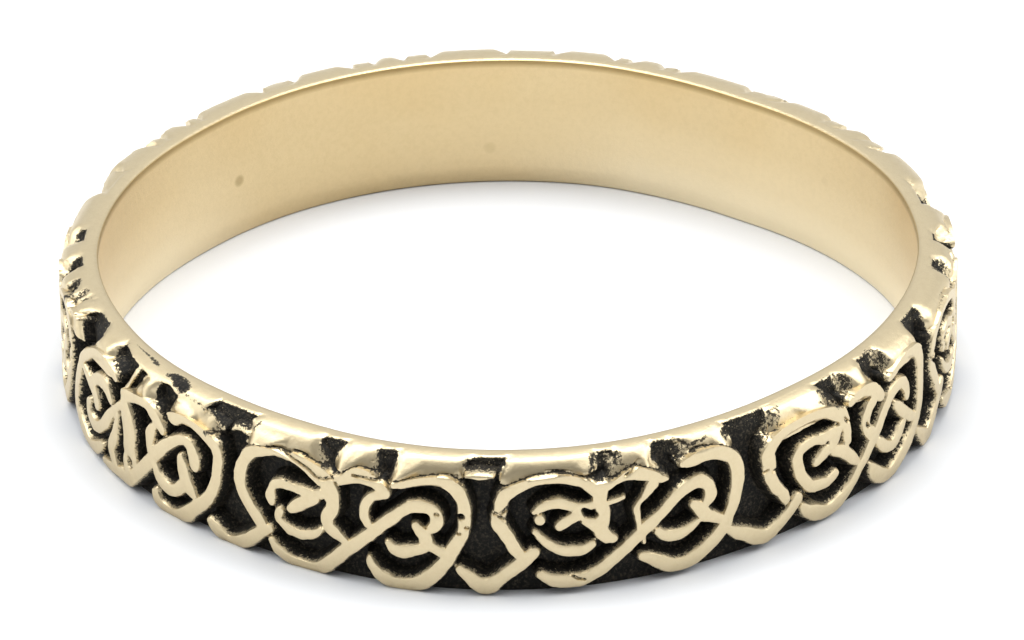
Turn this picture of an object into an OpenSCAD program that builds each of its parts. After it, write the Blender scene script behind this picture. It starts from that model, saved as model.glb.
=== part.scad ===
// Cast finger ring with a raised band of spiral knotwork.
// The ring lies on its side: the bore runs along Z and the lower rim is at z = 0.

/* [Band] */
// Inside diameter of the ring
bore_d = 17.5; // [15:0.5:22]
// Width of the band, measured along the finger
band_w = 3.05; // [2.6:0.05:4]
// Thickness of the wall under the knotwork
wall_t = 0.45; // [0.4:0.01:0.8]
// How far the knotwork stands up from the sunk ground
relief_h = 0.4; // [0.2:0.01:0.5]

/* [Rims] */
// Flat rim beside the bore, seen from above
rim_t = 0.22; // [0.18:0.01:0.3]
// Drop of the rounded and notched shoulder under the flat rim
shoulder_drop = 0.25; // [0.15:0.01:0.4]
// Height of the rounded lower edge
foot_rise = 0.3; // [0.1:0.01:0.4]
// Worn edge of the bore
bore_ease = 0.08; // [0.03:0.01:0.12]

/* [Knotwork] */
// Number of knots round the band
knots = 10; // [8:2:12]
// Width of the strands, as a share of the charted width
strand_share = 1; // [0.8:0.05:1.1]

/* [Hidden] */

bore_r = bore_d / 2;
floor_r = bore_r + wall_t;
face_r = floor_r + relief_h;
rim_r = bore_r + rim_t;
pitch = 2 * PI * face_r / knots;
foot_in = 0.12;            // how far the lower edge of the knotwork rounds in
ground_flare = 0.08;       // how far the ground flares out at the lower edge
notch_r = rim_r + 0.12;    // how near to the bore a notch of the shoulder cuts
notch_drop = 0.45;         // where a notch's floor begins to lean in, below the rim
root = 0.12;               // how deep a petal is rooted in the wall
spare = 0.3;               // what the rough casting has over its finished faces
rough_r = bore_r - spare;  // the bore as cast
tip_len = 0.7;             // a tip's length, in half widths
tip_w = 0.5;               // a tip's width, as a share of the strand's
ring_fn = 50;              // flats round the knotwork
bore_fn = 180;             // flats round the bore
turn_first = -39.2;        // the angle where the first knot begins, from the front

// The two charts below were drawn for a knot this long on a band this wide.
chart_pitch = 6.032;
chart_w = 3.05;
along_scale = pitch / chart_pitch;
up_scale = band_w / chart_w;

// Each row is a strand: name, width, centre line as [along, up] from the knot's lower left corner.
KNOT_A = [
    ["left_loop", 0.24, [[1.10, 0.91], [0.80, 1.29], [0.59, 1.65], [0.55, 1.95], [0.67, 2.35],
        [0.94, 2.63], [1.36, 2.74], [1.78, 2.73], [2.14, 2.58], [2.50, 2.38]]],
    ["right_loop", 0.27, [[4.10, 2.49], [4.48, 2.61], [4.96, 2.71], [5.40, 2.55], [5.59, 2.17],
        [5.60, 1.73], [5.46, 1.29], [5.20, 0.81], [4.90, 0.45], [4.52, 0.20], [4.08, 0.19],
        [3.70, 0.45]]],
    ["diagonal", 0.26, [[1.30, 0.63], [1.62, 0.36], [2.02, 0.19], [2.42, 0.25], [2.84, 0.59],
        [3.52, 1.22], [4.12, 1.77], [4.46, 2.04], [4.80, 2.06], [5.02, 1.85], [4.95, 1.61]]],
    ["hook", 0.28, [[-0.30, 0.58], [0.00, 0.33], [0.17, 0.21], [0.56, 0.37], [1.10, 0.79]]],
    ["left_stem", 0.30, [[2.67, 2.41], [2.75, 1.90], [2.64, 1.48], [2.82, 1.18], [3.02, 1.02]]],
    ["left_curl", 0.19, [[2.50, 2.01], [2.10, 2.00], [1.62, 2.06], [1.37, 1.91], [1.32, 1.58]]],
    ["left_tail", 0.22, [[2.38, 1.87], [1.80, 1.51]]],
    ["left_smile", 0.18, [[1.54, 1.39], [1.55, 1.16], [1.80, 0.99], [2.22, 0.97], [2.47, 1.14]]],
    ["bridge", 0.24, [[2.85, 2.46], [3.17, 2.62], [3.57, 2.58], [3.87, 2.34]]],
    ["middle_stem", 0.20, [[3.82, 2.24], [3.54, 2.03], [3.48, 1.71], [3.59, 1.41]]],
    ["right_tick", 0.25, [[4.58, 1.61], [4.78, 1.31], [4.94, 1.11], [5.17, 1.01]]],
    ["right_curve", 0.22, [[4.74, 1.09], [4.37, 0.97], [4.07, 1.04]]]
];
KNOT_B = [
    ["left_loop", 0.24, [[0.71, 0.99], [0.43, 1.47], [0.25, 1.89], [0.33, 2.23], [0.55, 2.51],
        [0.97, 2.71], [1.49, 2.76], [1.95, 2.65], [2.31, 2.37]]],
    ["right_loop", 0.28, [[4.17, 2.71], [4.63, 2.80], [4.99, 2.78], [5.35, 2.53], [5.45, 2.09],
        [5.38, 1.65], [5.23, 1.23], [4.99, 0.85], [4.59, 0.53], [4.09, 0.36], [3.61, 0.53],
        [3.32, 0.69]]],
    ["diagonal", 0.25, [[1.14, 0.50], [1.45, 0.36], [1.93, 0.35], [2.33, 0.50], [2.85, 0.91],
        [3.45, 1.45], [4.03, 1.99], [4.39, 2.20], [4.67, 2.17], [4.80, 1.94], [4.75, 1.72]]],
    ["hook", 0.29, [[-0.51, 0.62], [-0.29, 0.41], [0.00, 0.24], [0.39, 0.52], [0.97, 1.01]]],
    ["left_stem", 0.28, [[2.39, 2.38], [2.41, 1.73], [2.39, 1.46], [2.64, 1.23]]],
    ["left_curl", 0.18, [[2.13, 2.05], [1.74, 2.10], [1.44, 2.18], [1.04, 2.03]]],
    ["left_bead", 0.19, [[1.12, 1.85], [1.12, 1.77]]],
    ["left_tail", 0.21, [[2.14, 1.94], [1.67, 1.73], [1.53, 1.63]]],
    ["left_smile", 0.20, [[1.06, 1.48], [1.25, 1.27], [1.63, 1.05], [1.94, 1.04], [2.21, 1.15]]],
    ["bridge", 0.23, [[2.54, 2.46], [2.84, 2.64], [3.19, 2.68], [3.69, 2.46]]],
    ["middle_stem", 0.16, [[3.51, 2.39], [3.26, 2.04], [3.17, 1.71], [3.20, 1.34]]],
    ["right_tick", 0.27, [[4.41, 1.69], [4.67, 1.41], [5.03, 1.21]]],
    ["right_curve", 0.20, [[3.66, 1.21], [3.89, 1.08], [4.16, 1.09], [4.46, 1.25]]]
];

// Each row is a petal between two notches of the shoulder: where it begins and ends along the knot.
PETALS_A = [[0.86, 2.52], [2.93, 3.84], [4.08, 5.52]];
PETALS_B = [[0.46, 2.26], [2.68, 3.48], [4.06, 5.30]];
petal_lean = 0.08;         // how much wider a petal is at its foot than at the rim, at each end
petal_foot = 0.06;         // how far a petal's foot reaches down behind the strands
petal_top = 0.31;          // how far a petal stands out of a notch's inner end

function unit(v) = v / norm(v);
function backwards(list) = [for (i = [len(list) - 1:-1:0]) list[i]];

// The point at a length along the band, a height and a radius.
function wrap(along, z, r) =
    let (turn = along / face_r * 180 / PI)
    [r * sin(turn), -r * cos(turn), z];

// A point of the chart, set on the flat plane that faces the middle of its knot.
function flat(p) = [face_r * sin((p[0] - pitch / 2) / face_r * 180 / PI), p[1]];

// The unit vector across a path at one of its points.
function across(path, i) =
    let (step = unit(path[min(i + 1, len(path) - 1)] - path[max(i - 1, 0)]))
    [-step[1], step[0]];

// A path with a short tapered tip at both ends, as [along, up, half width].
function tipped(path, half) =
    let (last = len(path) - 1,
         back = unit(path[0] - path[1]) * half * tip_len,
         on = unit(path[last] - path[last - 1]) * half * tip_len)
    concat([concat(path[0] + back, half * tip_w)],
           [for (p = path) concat(p, half)],
           [concat(path[last] + on, half * tip_w)]);

// One strand's outline, as wide on both sides of its path.
module strand(path, width) {
    stations = tipped(path, width / 2);
    line = [for (s = stations) [s[0], s[1]]];
    left = [for (i = [0:len(line) - 1]) line[i] + across(line, i) * stations[i][2]];
    right = [for (i = [0:len(line) - 1]) line[i] - across(line, i) * stations[i][2]];
    polygon([for (p = concat(left, backwards(right))) flat(p)]);
}

// A closed bar through rings of four points.
module bar(points) {
    rings = len(points) / 4;
    walls = [for (i = [0:rings - 2], k = [0:3], half = [0, 1])
        let (a = i * 4 + k,
             b = i * 4 + (k + 1) % 4)
        half == 0 ? [a, b + 4, b] : [a, a + 4, b + 4]];
    end = (rings - 1) * 4;
    polyhedron(points = points,
               faces = concat(walls, [[0, 1, 2, 3], [end + 3, end + 2, end + 1, end]]));
}

// One petal of the shoulder, swelling between its two ends.
module petal(from, to) {
    sections = [[0, 0.35], [0.14, 0.85], [0.5, 1], [0.86, 0.85], [1, 0.35]];
    foot_z = band_w - shoulder_drop - petal_foot;
    bar([for (s = sections)
        let (rim_along = from + (to - from) * s[0],
             foot_along = rim_along + petal_lean * (s[0] * 2 - 1))
        each [
            wrap(rim_along, band_w + spare, notch_r + petal_top * s[1]),
            wrap(foot_along, foot_z, floor_r + relief_h * s[1]),
            wrap(foot_along, foot_z, floor_r - root),
            wrap(rim_along, band_w + spare, bore_r)
        ]]);
}

// The plain wall with its sunk ground, larger than the band at its rims and bore.
module ground() {
    rotate_extrude($fn = ring_fn)
        polygon([
            [rough_r - spare, -spare],
            [floor_r + ground_flare, -spare],
            [floor_r + ground_flare, 0],
            [floor_r, foot_rise],
            [floor_r, band_w - notch_drop],
            [notch_r, band_w - foot_in],
            [notch_r, band_w + spare],
            [rough_r - spare, band_w + spare]
        ]);
}

// The outer form that everything is cut to, with a bore still too narrow.
module outer_form() {
    foot_arc = [for (turn = [0, 45, 90])
        [face_r - foot_in * (1 - sin(turn)), foot_rise * (1 - cos(turn))]];
    shoulder_arc = [for (turn = [0, 30, 60, 90])
        [rim_r + (face_r - rim_r) * cos(turn), band_w - shoulder_drop * (1 - sin(turn))]];
    rotate_extrude($fn = ring_fn)
        polygon(concat([[rough_r, 0]], foot_arc, shoulder_arc, [[rough_r, band_w]]));
}

// One knot of strands and its petals, from its lower left corner at the front.
module knot(strands, petals) {
    rotate([0, 0, 180 / knots])
        rotate([90, 0, 0])
            translate([0, 0, rough_r - spare])
                linear_extrude(face_r - rough_r + spare * 2)
                    for (s = strands)
                        strand([for (p = s[2]) [p[0] * along_scale, p[1] * up_scale]],
                               s[1] * strand_share);
    for (p = petals)
        petal(p[0] * along_scale, p[1] * along_scale);
}

module knotwork() {
    for (k = [0:knots - 1])
        rotate([0, 0, turn_first + k * 360 / knots])
            if (k % 2 == 0) knot(KNOT_A, PETALS_A);
            else knot(KNOT_B, PETALS_B);
}

// The bore with its worn edges, as the solid that is cut away.
module bore() {
    translate([0, 0, -1])
        cylinder(r = bore_r, h = band_w + 2, $fn = bore_fn);
    translate([0, 0, band_w - bore_ease])
        cylinder(r1 = bore_r, r2 = bore_r + bore_ease * 2, h = bore_ease * 2, $fn = bore_fn);
    translate([0, 0, -bore_ease])
        cylinder(r1 = bore_r + bore_ease * 2, r2 = bore_r, h = bore_ease * 2, $fn = bore_fn);
}

module knot_band() {
    color("gold")
        difference() {
            resize([0, 0, band_w])
                intersection() {
                    outer_form();
                    union() {
                        ground();
                        knotwork();
                    }
                }
            bore();
        }
}

knot_band();
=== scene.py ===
"""Cast finger ring: a band of spiral knotwork over a dark sunk ground, under a notched shoulder.

The outer face is unrolled into a chart: how far along the face from the middle of the front, and
how far up its profile from the lower rim. The strands were read off the photo. Many places of the
shoulder, stains and rubs were picked by eye too, and a scratch script turned them from pixels into
lengths. The relief and the patina are worked out on a fine grid over the chart, and the outer skin
is meshed along the relief's edges and wrapped round the ring.
"""

import math

import bpy
import numpy as np
from mathutils import Matrix, Vector
from mathutils.geometry import delaunay_2d_cdt


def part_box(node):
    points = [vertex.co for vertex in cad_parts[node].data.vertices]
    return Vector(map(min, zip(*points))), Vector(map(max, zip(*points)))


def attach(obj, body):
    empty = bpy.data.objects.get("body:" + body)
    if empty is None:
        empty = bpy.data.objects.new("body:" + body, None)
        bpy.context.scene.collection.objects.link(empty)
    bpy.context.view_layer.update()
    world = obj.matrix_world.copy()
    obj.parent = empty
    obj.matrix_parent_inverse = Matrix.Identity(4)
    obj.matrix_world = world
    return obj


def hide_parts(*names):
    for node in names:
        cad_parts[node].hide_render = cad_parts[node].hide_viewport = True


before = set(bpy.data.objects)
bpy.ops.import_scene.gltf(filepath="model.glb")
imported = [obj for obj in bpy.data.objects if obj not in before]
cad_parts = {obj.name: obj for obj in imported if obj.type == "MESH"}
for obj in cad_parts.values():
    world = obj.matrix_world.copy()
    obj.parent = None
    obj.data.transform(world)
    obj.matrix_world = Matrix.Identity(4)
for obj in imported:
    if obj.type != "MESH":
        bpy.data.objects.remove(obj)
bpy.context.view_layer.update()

# Sizes in millimetres, from the frame where it gives them
MM = 0.001
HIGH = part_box("knot_band")[1]
BAND_H = HIGH[2] / MM
FACE_R = HIGH[0] / MM
BORE_R = 8.75
RIM_R = 8.97            # outer edge of the flat rim
RIM_W = 0.22            # width of the flat rim
SHOULDER_DROP = 0.25    # height of the envelope's rounded upper edge
FOOT_IN = 0.12          # width and height of the rounded lower edge
FOOT_RISE = 0.30
BORE_EASE = 0.08        # rounding of the bore's edges
GROUND_R = 9.20         # radius of the sunk ground, and how much wider it is at the foot
GROUND_FLARE = 0.08
ROUND = 2 * math.pi * FACE_R
KNOTS = 10
PITCH = ROUND / KNOTS

# The camera, fitted to the rim ellipses of the photo, with lengths in millimetres
ELEVATION = math.radians(28.65)
ROLL = math.radians(-0.8)
FAR = 25 * BORE_R
SHIFT_X, SHIFT_UP = 0.0101 * BORE_R, -0.1776 * BORE_R
LENS_PX = 10278
PHOTO_W = 1024
SENSOR = 36

# How far the ring is bent in from a true circle: angle from the front, inward distance
OUT_OF_ROUND = [
    (-180, 0.03), (-165, 0.00), (-150, 0.02), (-130, 0.10), (-110, 0.03), (-90, 0.02),
    (-70, 0.15), (-55, 0.20), (-43, 0.26), (-30, 0.22), (-20, 0.10), (-10, 0.02), (0, 0.00),
    (10, 0.02), (20, 0.10), (30, 0.20), (43, 0.27), (55, 0.20), (70, 0.13), (90, 0.02),
    (110, 0.03), (130, 0.22), (143, 0.34), (155, 0.24), (168, 0.08)]

# Each strand: name, then rows of how far along the face, how high on its profile, and width.
# The four knots that face the photo are charted as the camera sees them on a round ring.
KNOT_A = [
    ("hook", [(-6.87, .62, .16), (-6.75, .53, .26), (-6.57, .37, .29), (-6.40, .25, .30),
              (-6.21, .31, .29), (-6.01, .41, .28), (-5.81, .55, .28), (-5.63, .69, .28),
              (-5.47, .83, .26), (-5.29, .93, .18)]),
    ("left_loop", [(-5.47, .95, .25), (-5.59, 1.11, .28), (-5.77, 1.33, .27), (-5.92, 1.55, .27),
                   (-6.01, 1.77, .27), (-6.02, 1.99, .30), (-5.98, 2.21, .28), (-5.90, 2.39, .27),
                   (-5.79, 2.57, .28), (-5.63, 2.67, .25), (-5.43, 2.73, .20), (-5.21, 2.78, .15),
                   (-5.01, 2.80, .14), (-4.79, 2.77, .14), (-4.61, 2.71, .13), (-4.43, 2.60, .13),
                   (-4.25, 2.48, .16), (-4.07, 2.37, .20)]),
    ("crest", [(-4.70, 2.87, .06), (-4.47, 2.80, .12), (-4.27, 2.71, .17), (-4.07, 2.61, .20),
               (-3.89, 2.55, .12)]),
    ("left_stem", [(-3.90, 2.40, .28), (-3.86, 2.20, .38), (-3.79, 1.90, .30), (-3.80, 1.78, .29),
                   (-3.93, 1.52, .29), (-3.90, 1.35, .28), (-3.75, 1.22, .26), (-3.55, 1.06, .16)]),
    ("left_curl", [(-4.07, 2.05, .20), (-4.21, 2.03, .16), (-4.47, 2.04, .20), (-4.71, 2.07, .17),
                   (-4.95, 2.10, .20), (-5.13, 2.05, .20), (-5.23, 1.87, .16), (-5.26, 1.71, .24),
                   (-5.24, 1.60, .18)]),
    ("left_tail", [(-4.19, 1.91, .20), (-4.41, 1.81, .26), (-4.63, 1.65, .26), (-4.77, 1.55, .18)]),
    ("left_smile", [(-5.03, 1.43, .18), (-5.07, 1.27, .16), (-4.95, 1.13, .17), (-4.77, 1.03, .18),
                    (-4.55, .99, .19), (-4.35, 1.03, .19), (-4.17, 1.12, .17), (-4.08, 1.20, .12)]),
    ("diagonal", [(-5.27, .67, .14), (-5.13, .51, .20), (-4.95, .40, .20), (-4.75, .29, .25),
                  (-4.55, .23, .28), (-4.35, .22, .28), (-4.15, .29, .28), (-3.97, .41, .28),
                  (-3.73, .63, .29), (-3.49, .87, .28), (-3.25, 1.07, .26), (-3.05, 1.26, .26),
                  (-2.85, 1.45, .25), (-2.65, 1.63, .26), (-2.45, 1.81, .25), (-2.27, 1.97, .23),
                  (-2.11, 2.08, .26), (-1.93, 2.11, .27), (-1.77, 2.10, .25), (-1.63, 2.03, .25),
                  (-1.55, 1.89, .27), (-1.56, 1.73, .26), (-1.65, 1.61, .20)]),
    ("right_tick", [(-1.99, 1.65, .16), (-1.89, 1.51, .22), (-1.79, 1.41, .26), (-1.77, 1.25, .26),
                    (-1.63, 1.15, .20), (-1.45, 1.05, .20)]),
    ("right_curve", [(-1.83, 1.13, .20), (-1.99, 1.07, .22), (-2.15, 1.03, .26), (-2.31, 1.00, .26),
                     (-2.47, 1.05, .22), (-2.57, 1.17, .14)]),
    ("right_loop", [(-2.99, .75, .10), (-2.97, .63, .16), (-2.87, .49, .20), (-2.71, .35, .25),
                    (-2.49, .23, .28), (-2.27, .20, .30), (-2.05, .24, .30), (-1.85, .35, .30),
                    (-1.67, .49, .30), (-1.51, .67, .30), (-1.37, .85, .28), (-1.25, 1.09, .28),
                    (-1.11, 1.33, .26), (-1.01, 1.55, .24), (-.97, 1.77, .24), (-.97, 2.01, .25),
                    (-.98, 2.21, .25), (-1.05, 2.41, .28), (-1.17, 2.59, .30), (-1.37, 2.73, .25),
                    (-1.61, 2.75, .18), (-1.85, 2.72, .16), (-2.09, 2.65, .16), (-2.29, 2.58, .14),
                    (-2.47, 2.53, .10)]),
    ("crest_two", [(-3.72, 2.50, .12), (-3.55, 2.58, .10), (-3.40, 2.68, .15), (-3.20, 2.77, .18),
                   (-3.00, 2.74, .14), (-2.85, 2.68, .08)]),
    ("bridge", [(-3.62, 2.44, .12), (-3.40, 2.52, .14), (-3.20, 2.56, .12), (-3.05, 2.55, .12),
                (-2.85, 2.51, .16), (-2.73, 2.45, .25), (-2.67, 2.35, .30)]),
    ("middle_stem", [(-2.73, 2.29, .20), (-2.91, 2.21, .20), (-3.03, 2.07, .20), (-3.09, 1.89, .20),
                     (-3.10, 1.71, .20), (-3.03, 1.55, .18)]),
    ("sliver", [(-.93, 2.88, .04), (-.66, 2.88, .11), (-.39, 2.88, .04)]),
]
KNOT_B = [
    ("hook", [(-1.09, .69, .14), (-1.0, .60, .20), (-.85, .48, .25), (-.73, .37, .30), (-.54, .28, .34),
              (-.35, .41, .28), (-.15, .56, .28), (.05, .73, .27), (.23, .89, .30), (.39, 1.03, .26),
              (.47, 1.09, .20)]),
    ("left_loop", [(.17, 1.03, .25), (.05, 1.21, .26), (-.05, 1.41, .27), (-.17, 1.61, .27),
                   (-.27, 1.79, .30), (-.29, 1.93, .26), (-.23, 2.09, .26), (-.21, 2.27, .27),
                   (-.13, 2.45, .28), (.01, 2.55, .26), (.21, 2.65, .22), (.43, 2.75, .17),
                   (.69, 2.79, .18), (.95, 2.80, .19), (1.19, 2.76, .20), (1.41, 2.69, .20),
                   (1.61, 2.57, .22), (1.77, 2.41, .25)]),
    ("left_stem", [(1.85, 2.45, .30), (1.83, 2.17, .28), (1.91, 1.97, .26), (1.89, 1.77, .30),
                   (1.85, 1.50, .30), (2.00, 1.32, .26), (2.12, 1.26, .16)]),
    ("stem_foot", [(1.52, 1.74, .14), (1.70, 1.66, .25), (1.85, 1.52, .28)]),
    ("finger", [(1.98, 2.12, .08), (2.20, 2.17, .08), (2.33, 2.22, .06)]),
    ("left_curl", [(1.70, 2.12, .16), (1.59, 2.09, .15), (1.37, 2.09, .17), (1.17, 2.15, .20),
                   (.99, 2.22, .22), (.79, 2.20, .20), (.61, 2.13, .16), (.47, 2.04, .10)]),
    ("bead", [(.57, 1.87, .19), (.59, 1.83, .19)]),
    ("left_tail", [(1.49, 1.97, .20), (1.29, 1.87, .22), (1.13, 1.77, .22), (.99, 1.67, .18)]),
    ("tail_root", [(1.40, 2.06, .14), (1.48, 1.99, .16)]),
    ("left_smile", [(.48, 1.57, .10), (.57, 1.45, .14), (.71, 1.31, .16), (.89, 1.17, .18),
                    (1.09, 1.09, .22), (1.29, 1.07, .24), (1.49, 1.09, .20), (1.67, 1.19, .16)]),
    ("diagonal", [(.57, .55, .14), (.73, .46, .22), (.91, .40, .26), (1.15, .37, .26), (1.39, .39, .26),
                  (1.59, .44, .24), (1.79, .54, .24), (1.99, .69, .25), (2.09, .77, .25),
                  (2.31, .95, .25), (2.53, 1.15, .25), (2.71, 1.31, .25), (2.91, 1.49, .28),
                  (3.13, 1.67, .24), (3.31, 1.85, .25), (3.49, 2.03, .25), (3.67, 2.15, .25),
                  (3.85, 2.24, .27), (4.03, 2.26, .28), (4.17, 2.17, .26), (4.26, 2.01, .26),
                  (4.26, 1.83, .26), (4.17, 1.71, .20)]),
    ("spur", [(2.77, 1.20, .07), (2.77, 1.08, .05)]),
    ("right_tick", [(3.87, 1.73, .16), (4.03, 1.61, .28), (4.13, 1.45, .30), (4.29, 1.35, .24),
                    (4.49, 1.25, .20)]),
    ("right_curve", [(3.09, 1.27, .16), (3.19, 1.17, .20), (3.35, 1.12, .24), (3.53, 1.11, .24),
                     (3.71, 1.16, .20), (3.87, 1.25, .16), (3.97, 1.33, .12)]),
    ("right_loop", [(3.63, 2.75, .14), (3.77, 2.77, .22), (3.97, 2.82, .28), (4.21, 2.85, .28),
                    (4.45, 2.82, .30), (4.65, 2.73, .30), (4.81, 2.57, .30), (4.89, 2.37, .30),
                    (4.91, 2.13, .31), (4.89, 1.91, .30), (4.84, 1.69, .28), (4.78, 1.47, .27),
                    (4.69, 1.27, .26), (4.59, 1.05, .30), (4.45, .89, .30), (4.27, .73, .30),
                    (4.05, .57, .28), (3.81, .45, .27), (3.55, .40, .27), (3.29, .45, .28),
                    (3.07, .57, .28), (2.87, .69, .22), (2.73, .75, .16)]),
    ("bridge", [(1.92, 2.50, .20), (2.05, 2.55, .16), (2.21, 2.62, .12), (2.41, 2.71, .20),
                (2.61, 2.73, .28), (2.81, 2.67, .26), (2.99, 2.59, .24), (3.15, 2.51, .18),
                (3.29, 2.48, .08)]),
    ("middle_stem", [(2.97, 2.43, .26), (2.87, 2.29, .20), (2.79, 2.15, .12), (2.67, 2.03, .09),
                     (2.61, 1.91, .14), (2.63, 1.75, .13), (2.65, 1.57, .10), (2.66, 1.41, .10)]),
]
KNOT_C = [
    ("hook", [(4.62, .98, .12), (4.74, .90, .20), (4.90, .80, .27), (5.08, .72, .30), (5.25, .62, .32),
              (5.42, .55, .33), (5.56, .51, .30), (5.72, .53, .26), (5.88, .62, .26), (6.04, .72, .25),
              (6.20, .84, .23), (6.34, .98, .26), (6.45, 1.10, .26)]),
    ("left_loop", [(6.14, 1.18, .20), (6.06, 1.32, .26), (5.97, 1.45, .26), (5.88, 1.56, .27),
                   (5.77, 1.75, .27), (5.70, 1.95, .30), (5.69, 2.10, .34), (5.68, 2.25, .35),
                   (5.66, 2.39, .34), (5.74, 2.55, .30), (5.94, 2.73, .25), (6.16, 2.84, .21),
                   (6.38, 2.88, .20), (6.66, 2.91, .19), (7.00, 2.90, .20), (7.18, 2.86, .23),
                   (7.36, 2.79, .28), (7.56, 2.69, .32), (7.74, 2.57, .30)]),
    ("left_stem", [(7.74, 2.58, .32), (7.81, 2.40, .28), (7.88, 2.15, .22), (7.90, 1.97, .20),
                   (7.93, 1.88, .14)]),
    ("stem_foot", [(7.46, 1.83, .16), (7.60, 1.79, .24), (7.76, 1.71, .28), (7.92, 1.57, .27),
                   (8.06, 1.43, .25), (8.18, 1.31, .18)]),
    ("left_curl", [(7.62, 2.27, .20), (7.46, 2.27, .26), (7.28, 2.24, .28), (7.06, 2.27, .22),
                   (6.90, 2.30, .20), (6.74, 2.28, .22), (6.60, 2.25, .22), (6.48, 2.17, .25),
                   (6.43, 2.03, .28), (6.46, 1.85, .28), (6.52, 1.66, .28), (6.62, 1.47, .27),
                   (6.74, 1.32, .26), (6.90, 1.22, .26), (7.08, 1.19, .25), (7.26, 1.18, .24),
                   (7.42, 1.22, .20), (7.54, 1.29, .15)]),
    ("left_tail", [(7.60, 2.20, .16), (7.48, 2.10, .30), (7.34, 1.99, .30), (7.20, 1.89, .26),
                   (7.06, 1.81, .22), (6.97, 1.77, .18)]),
    ("diagonal", [(6.60, .84, .16), (6.68, .73, .26), (6.84, .63, .32), (7.02, .56, .32),
                  (7.26, .49, .28), (7.46, .52, .26), (7.66, .59, .26), (7.96, .76, .22),
                  (8.16, .94, .24), (8.24, 1.03, .23), (8.50, 1.28, .24), (8.73, 1.53, .28),
                  (8.92, 1.74, .28), (9.10, 1.97, .27), (9.28, 2.17, .27), (9.44, 2.33, .28),
                  (9.64, 2.40, .26), (9.84, 2.42, .26), (9.96, 2.36, .26), (10.05, 2.25, .25),
                  (10.11, 2.10, .22), (10.12, 1.97, .18)]),
    ("crest", [(8.00, 2.78, .18), (8.14, 2.83, .22), (8.34, 2.88, .22), (8.54, 2.86, .26),
               (8.70, 2.80, .30), (8.84, 2.68, .32), (8.96, 2.56, .28), (9.06, 2.46, .22)]),
    ("middle_stem", [(8.78, 2.52, .28), (8.62, 2.38, .28), (8.52, 2.20, .27), (8.50, 2.03, .25),
                     (8.56, 1.88, .26), (8.68, 1.76, .30)]),
    ("right_tick", [(9.60, 2.05, .10), (9.68, 1.95, .20), (9.80, 1.83, .26), (9.94, 1.70, .27),
                    (10.10, 1.57, .26), (10.26, 1.44, .24), (10.42, 1.34, .20), (10.54, 1.29, .16)]),
    ("right_curve", [(8.98, 1.42, .20), (9.08, 1.31, .26), (9.22, 1.20, .26), (9.36, 1.13, .25),
                     (9.50, 1.10, .24), (9.64, 1.14, .26), (9.76, 1.22, .26), (9.88, 1.32, .24),
                     (9.98, 1.42, .16)]),
    ("right_loop", [(8.66, 1.02, .06), (8.72, .94, .16), (8.78, .80, .30), (8.94, .65, .32),
                    (9.12, .55, .30), (9.32, .46, .26), (9.50, .47, .28), (9.70, .56, .28),
                    (9.90, .66, .30), (10.10, .78, .32), (10.28, .90, .32), (10.44, 1.05, .30),
                    (10.56, 1.20, .28), (10.65, 1.36, .28), (10.72, 1.55, .30), (10.76, 1.80, .28),
                    (10.76, 2.05, .29), (10.75, 2.30, .30), (10.74, 2.52, .32), (10.66, 2.72, .34),
                    (10.52, 2.87, .30), (10.32, 2.96, .18), (10.10, 2.98, .16), (9.90, 2.95, .16),
                    (9.70, 2.87, .18), (9.50, 2.78, .18), (9.38, 2.74, .14)]),
]
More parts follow.
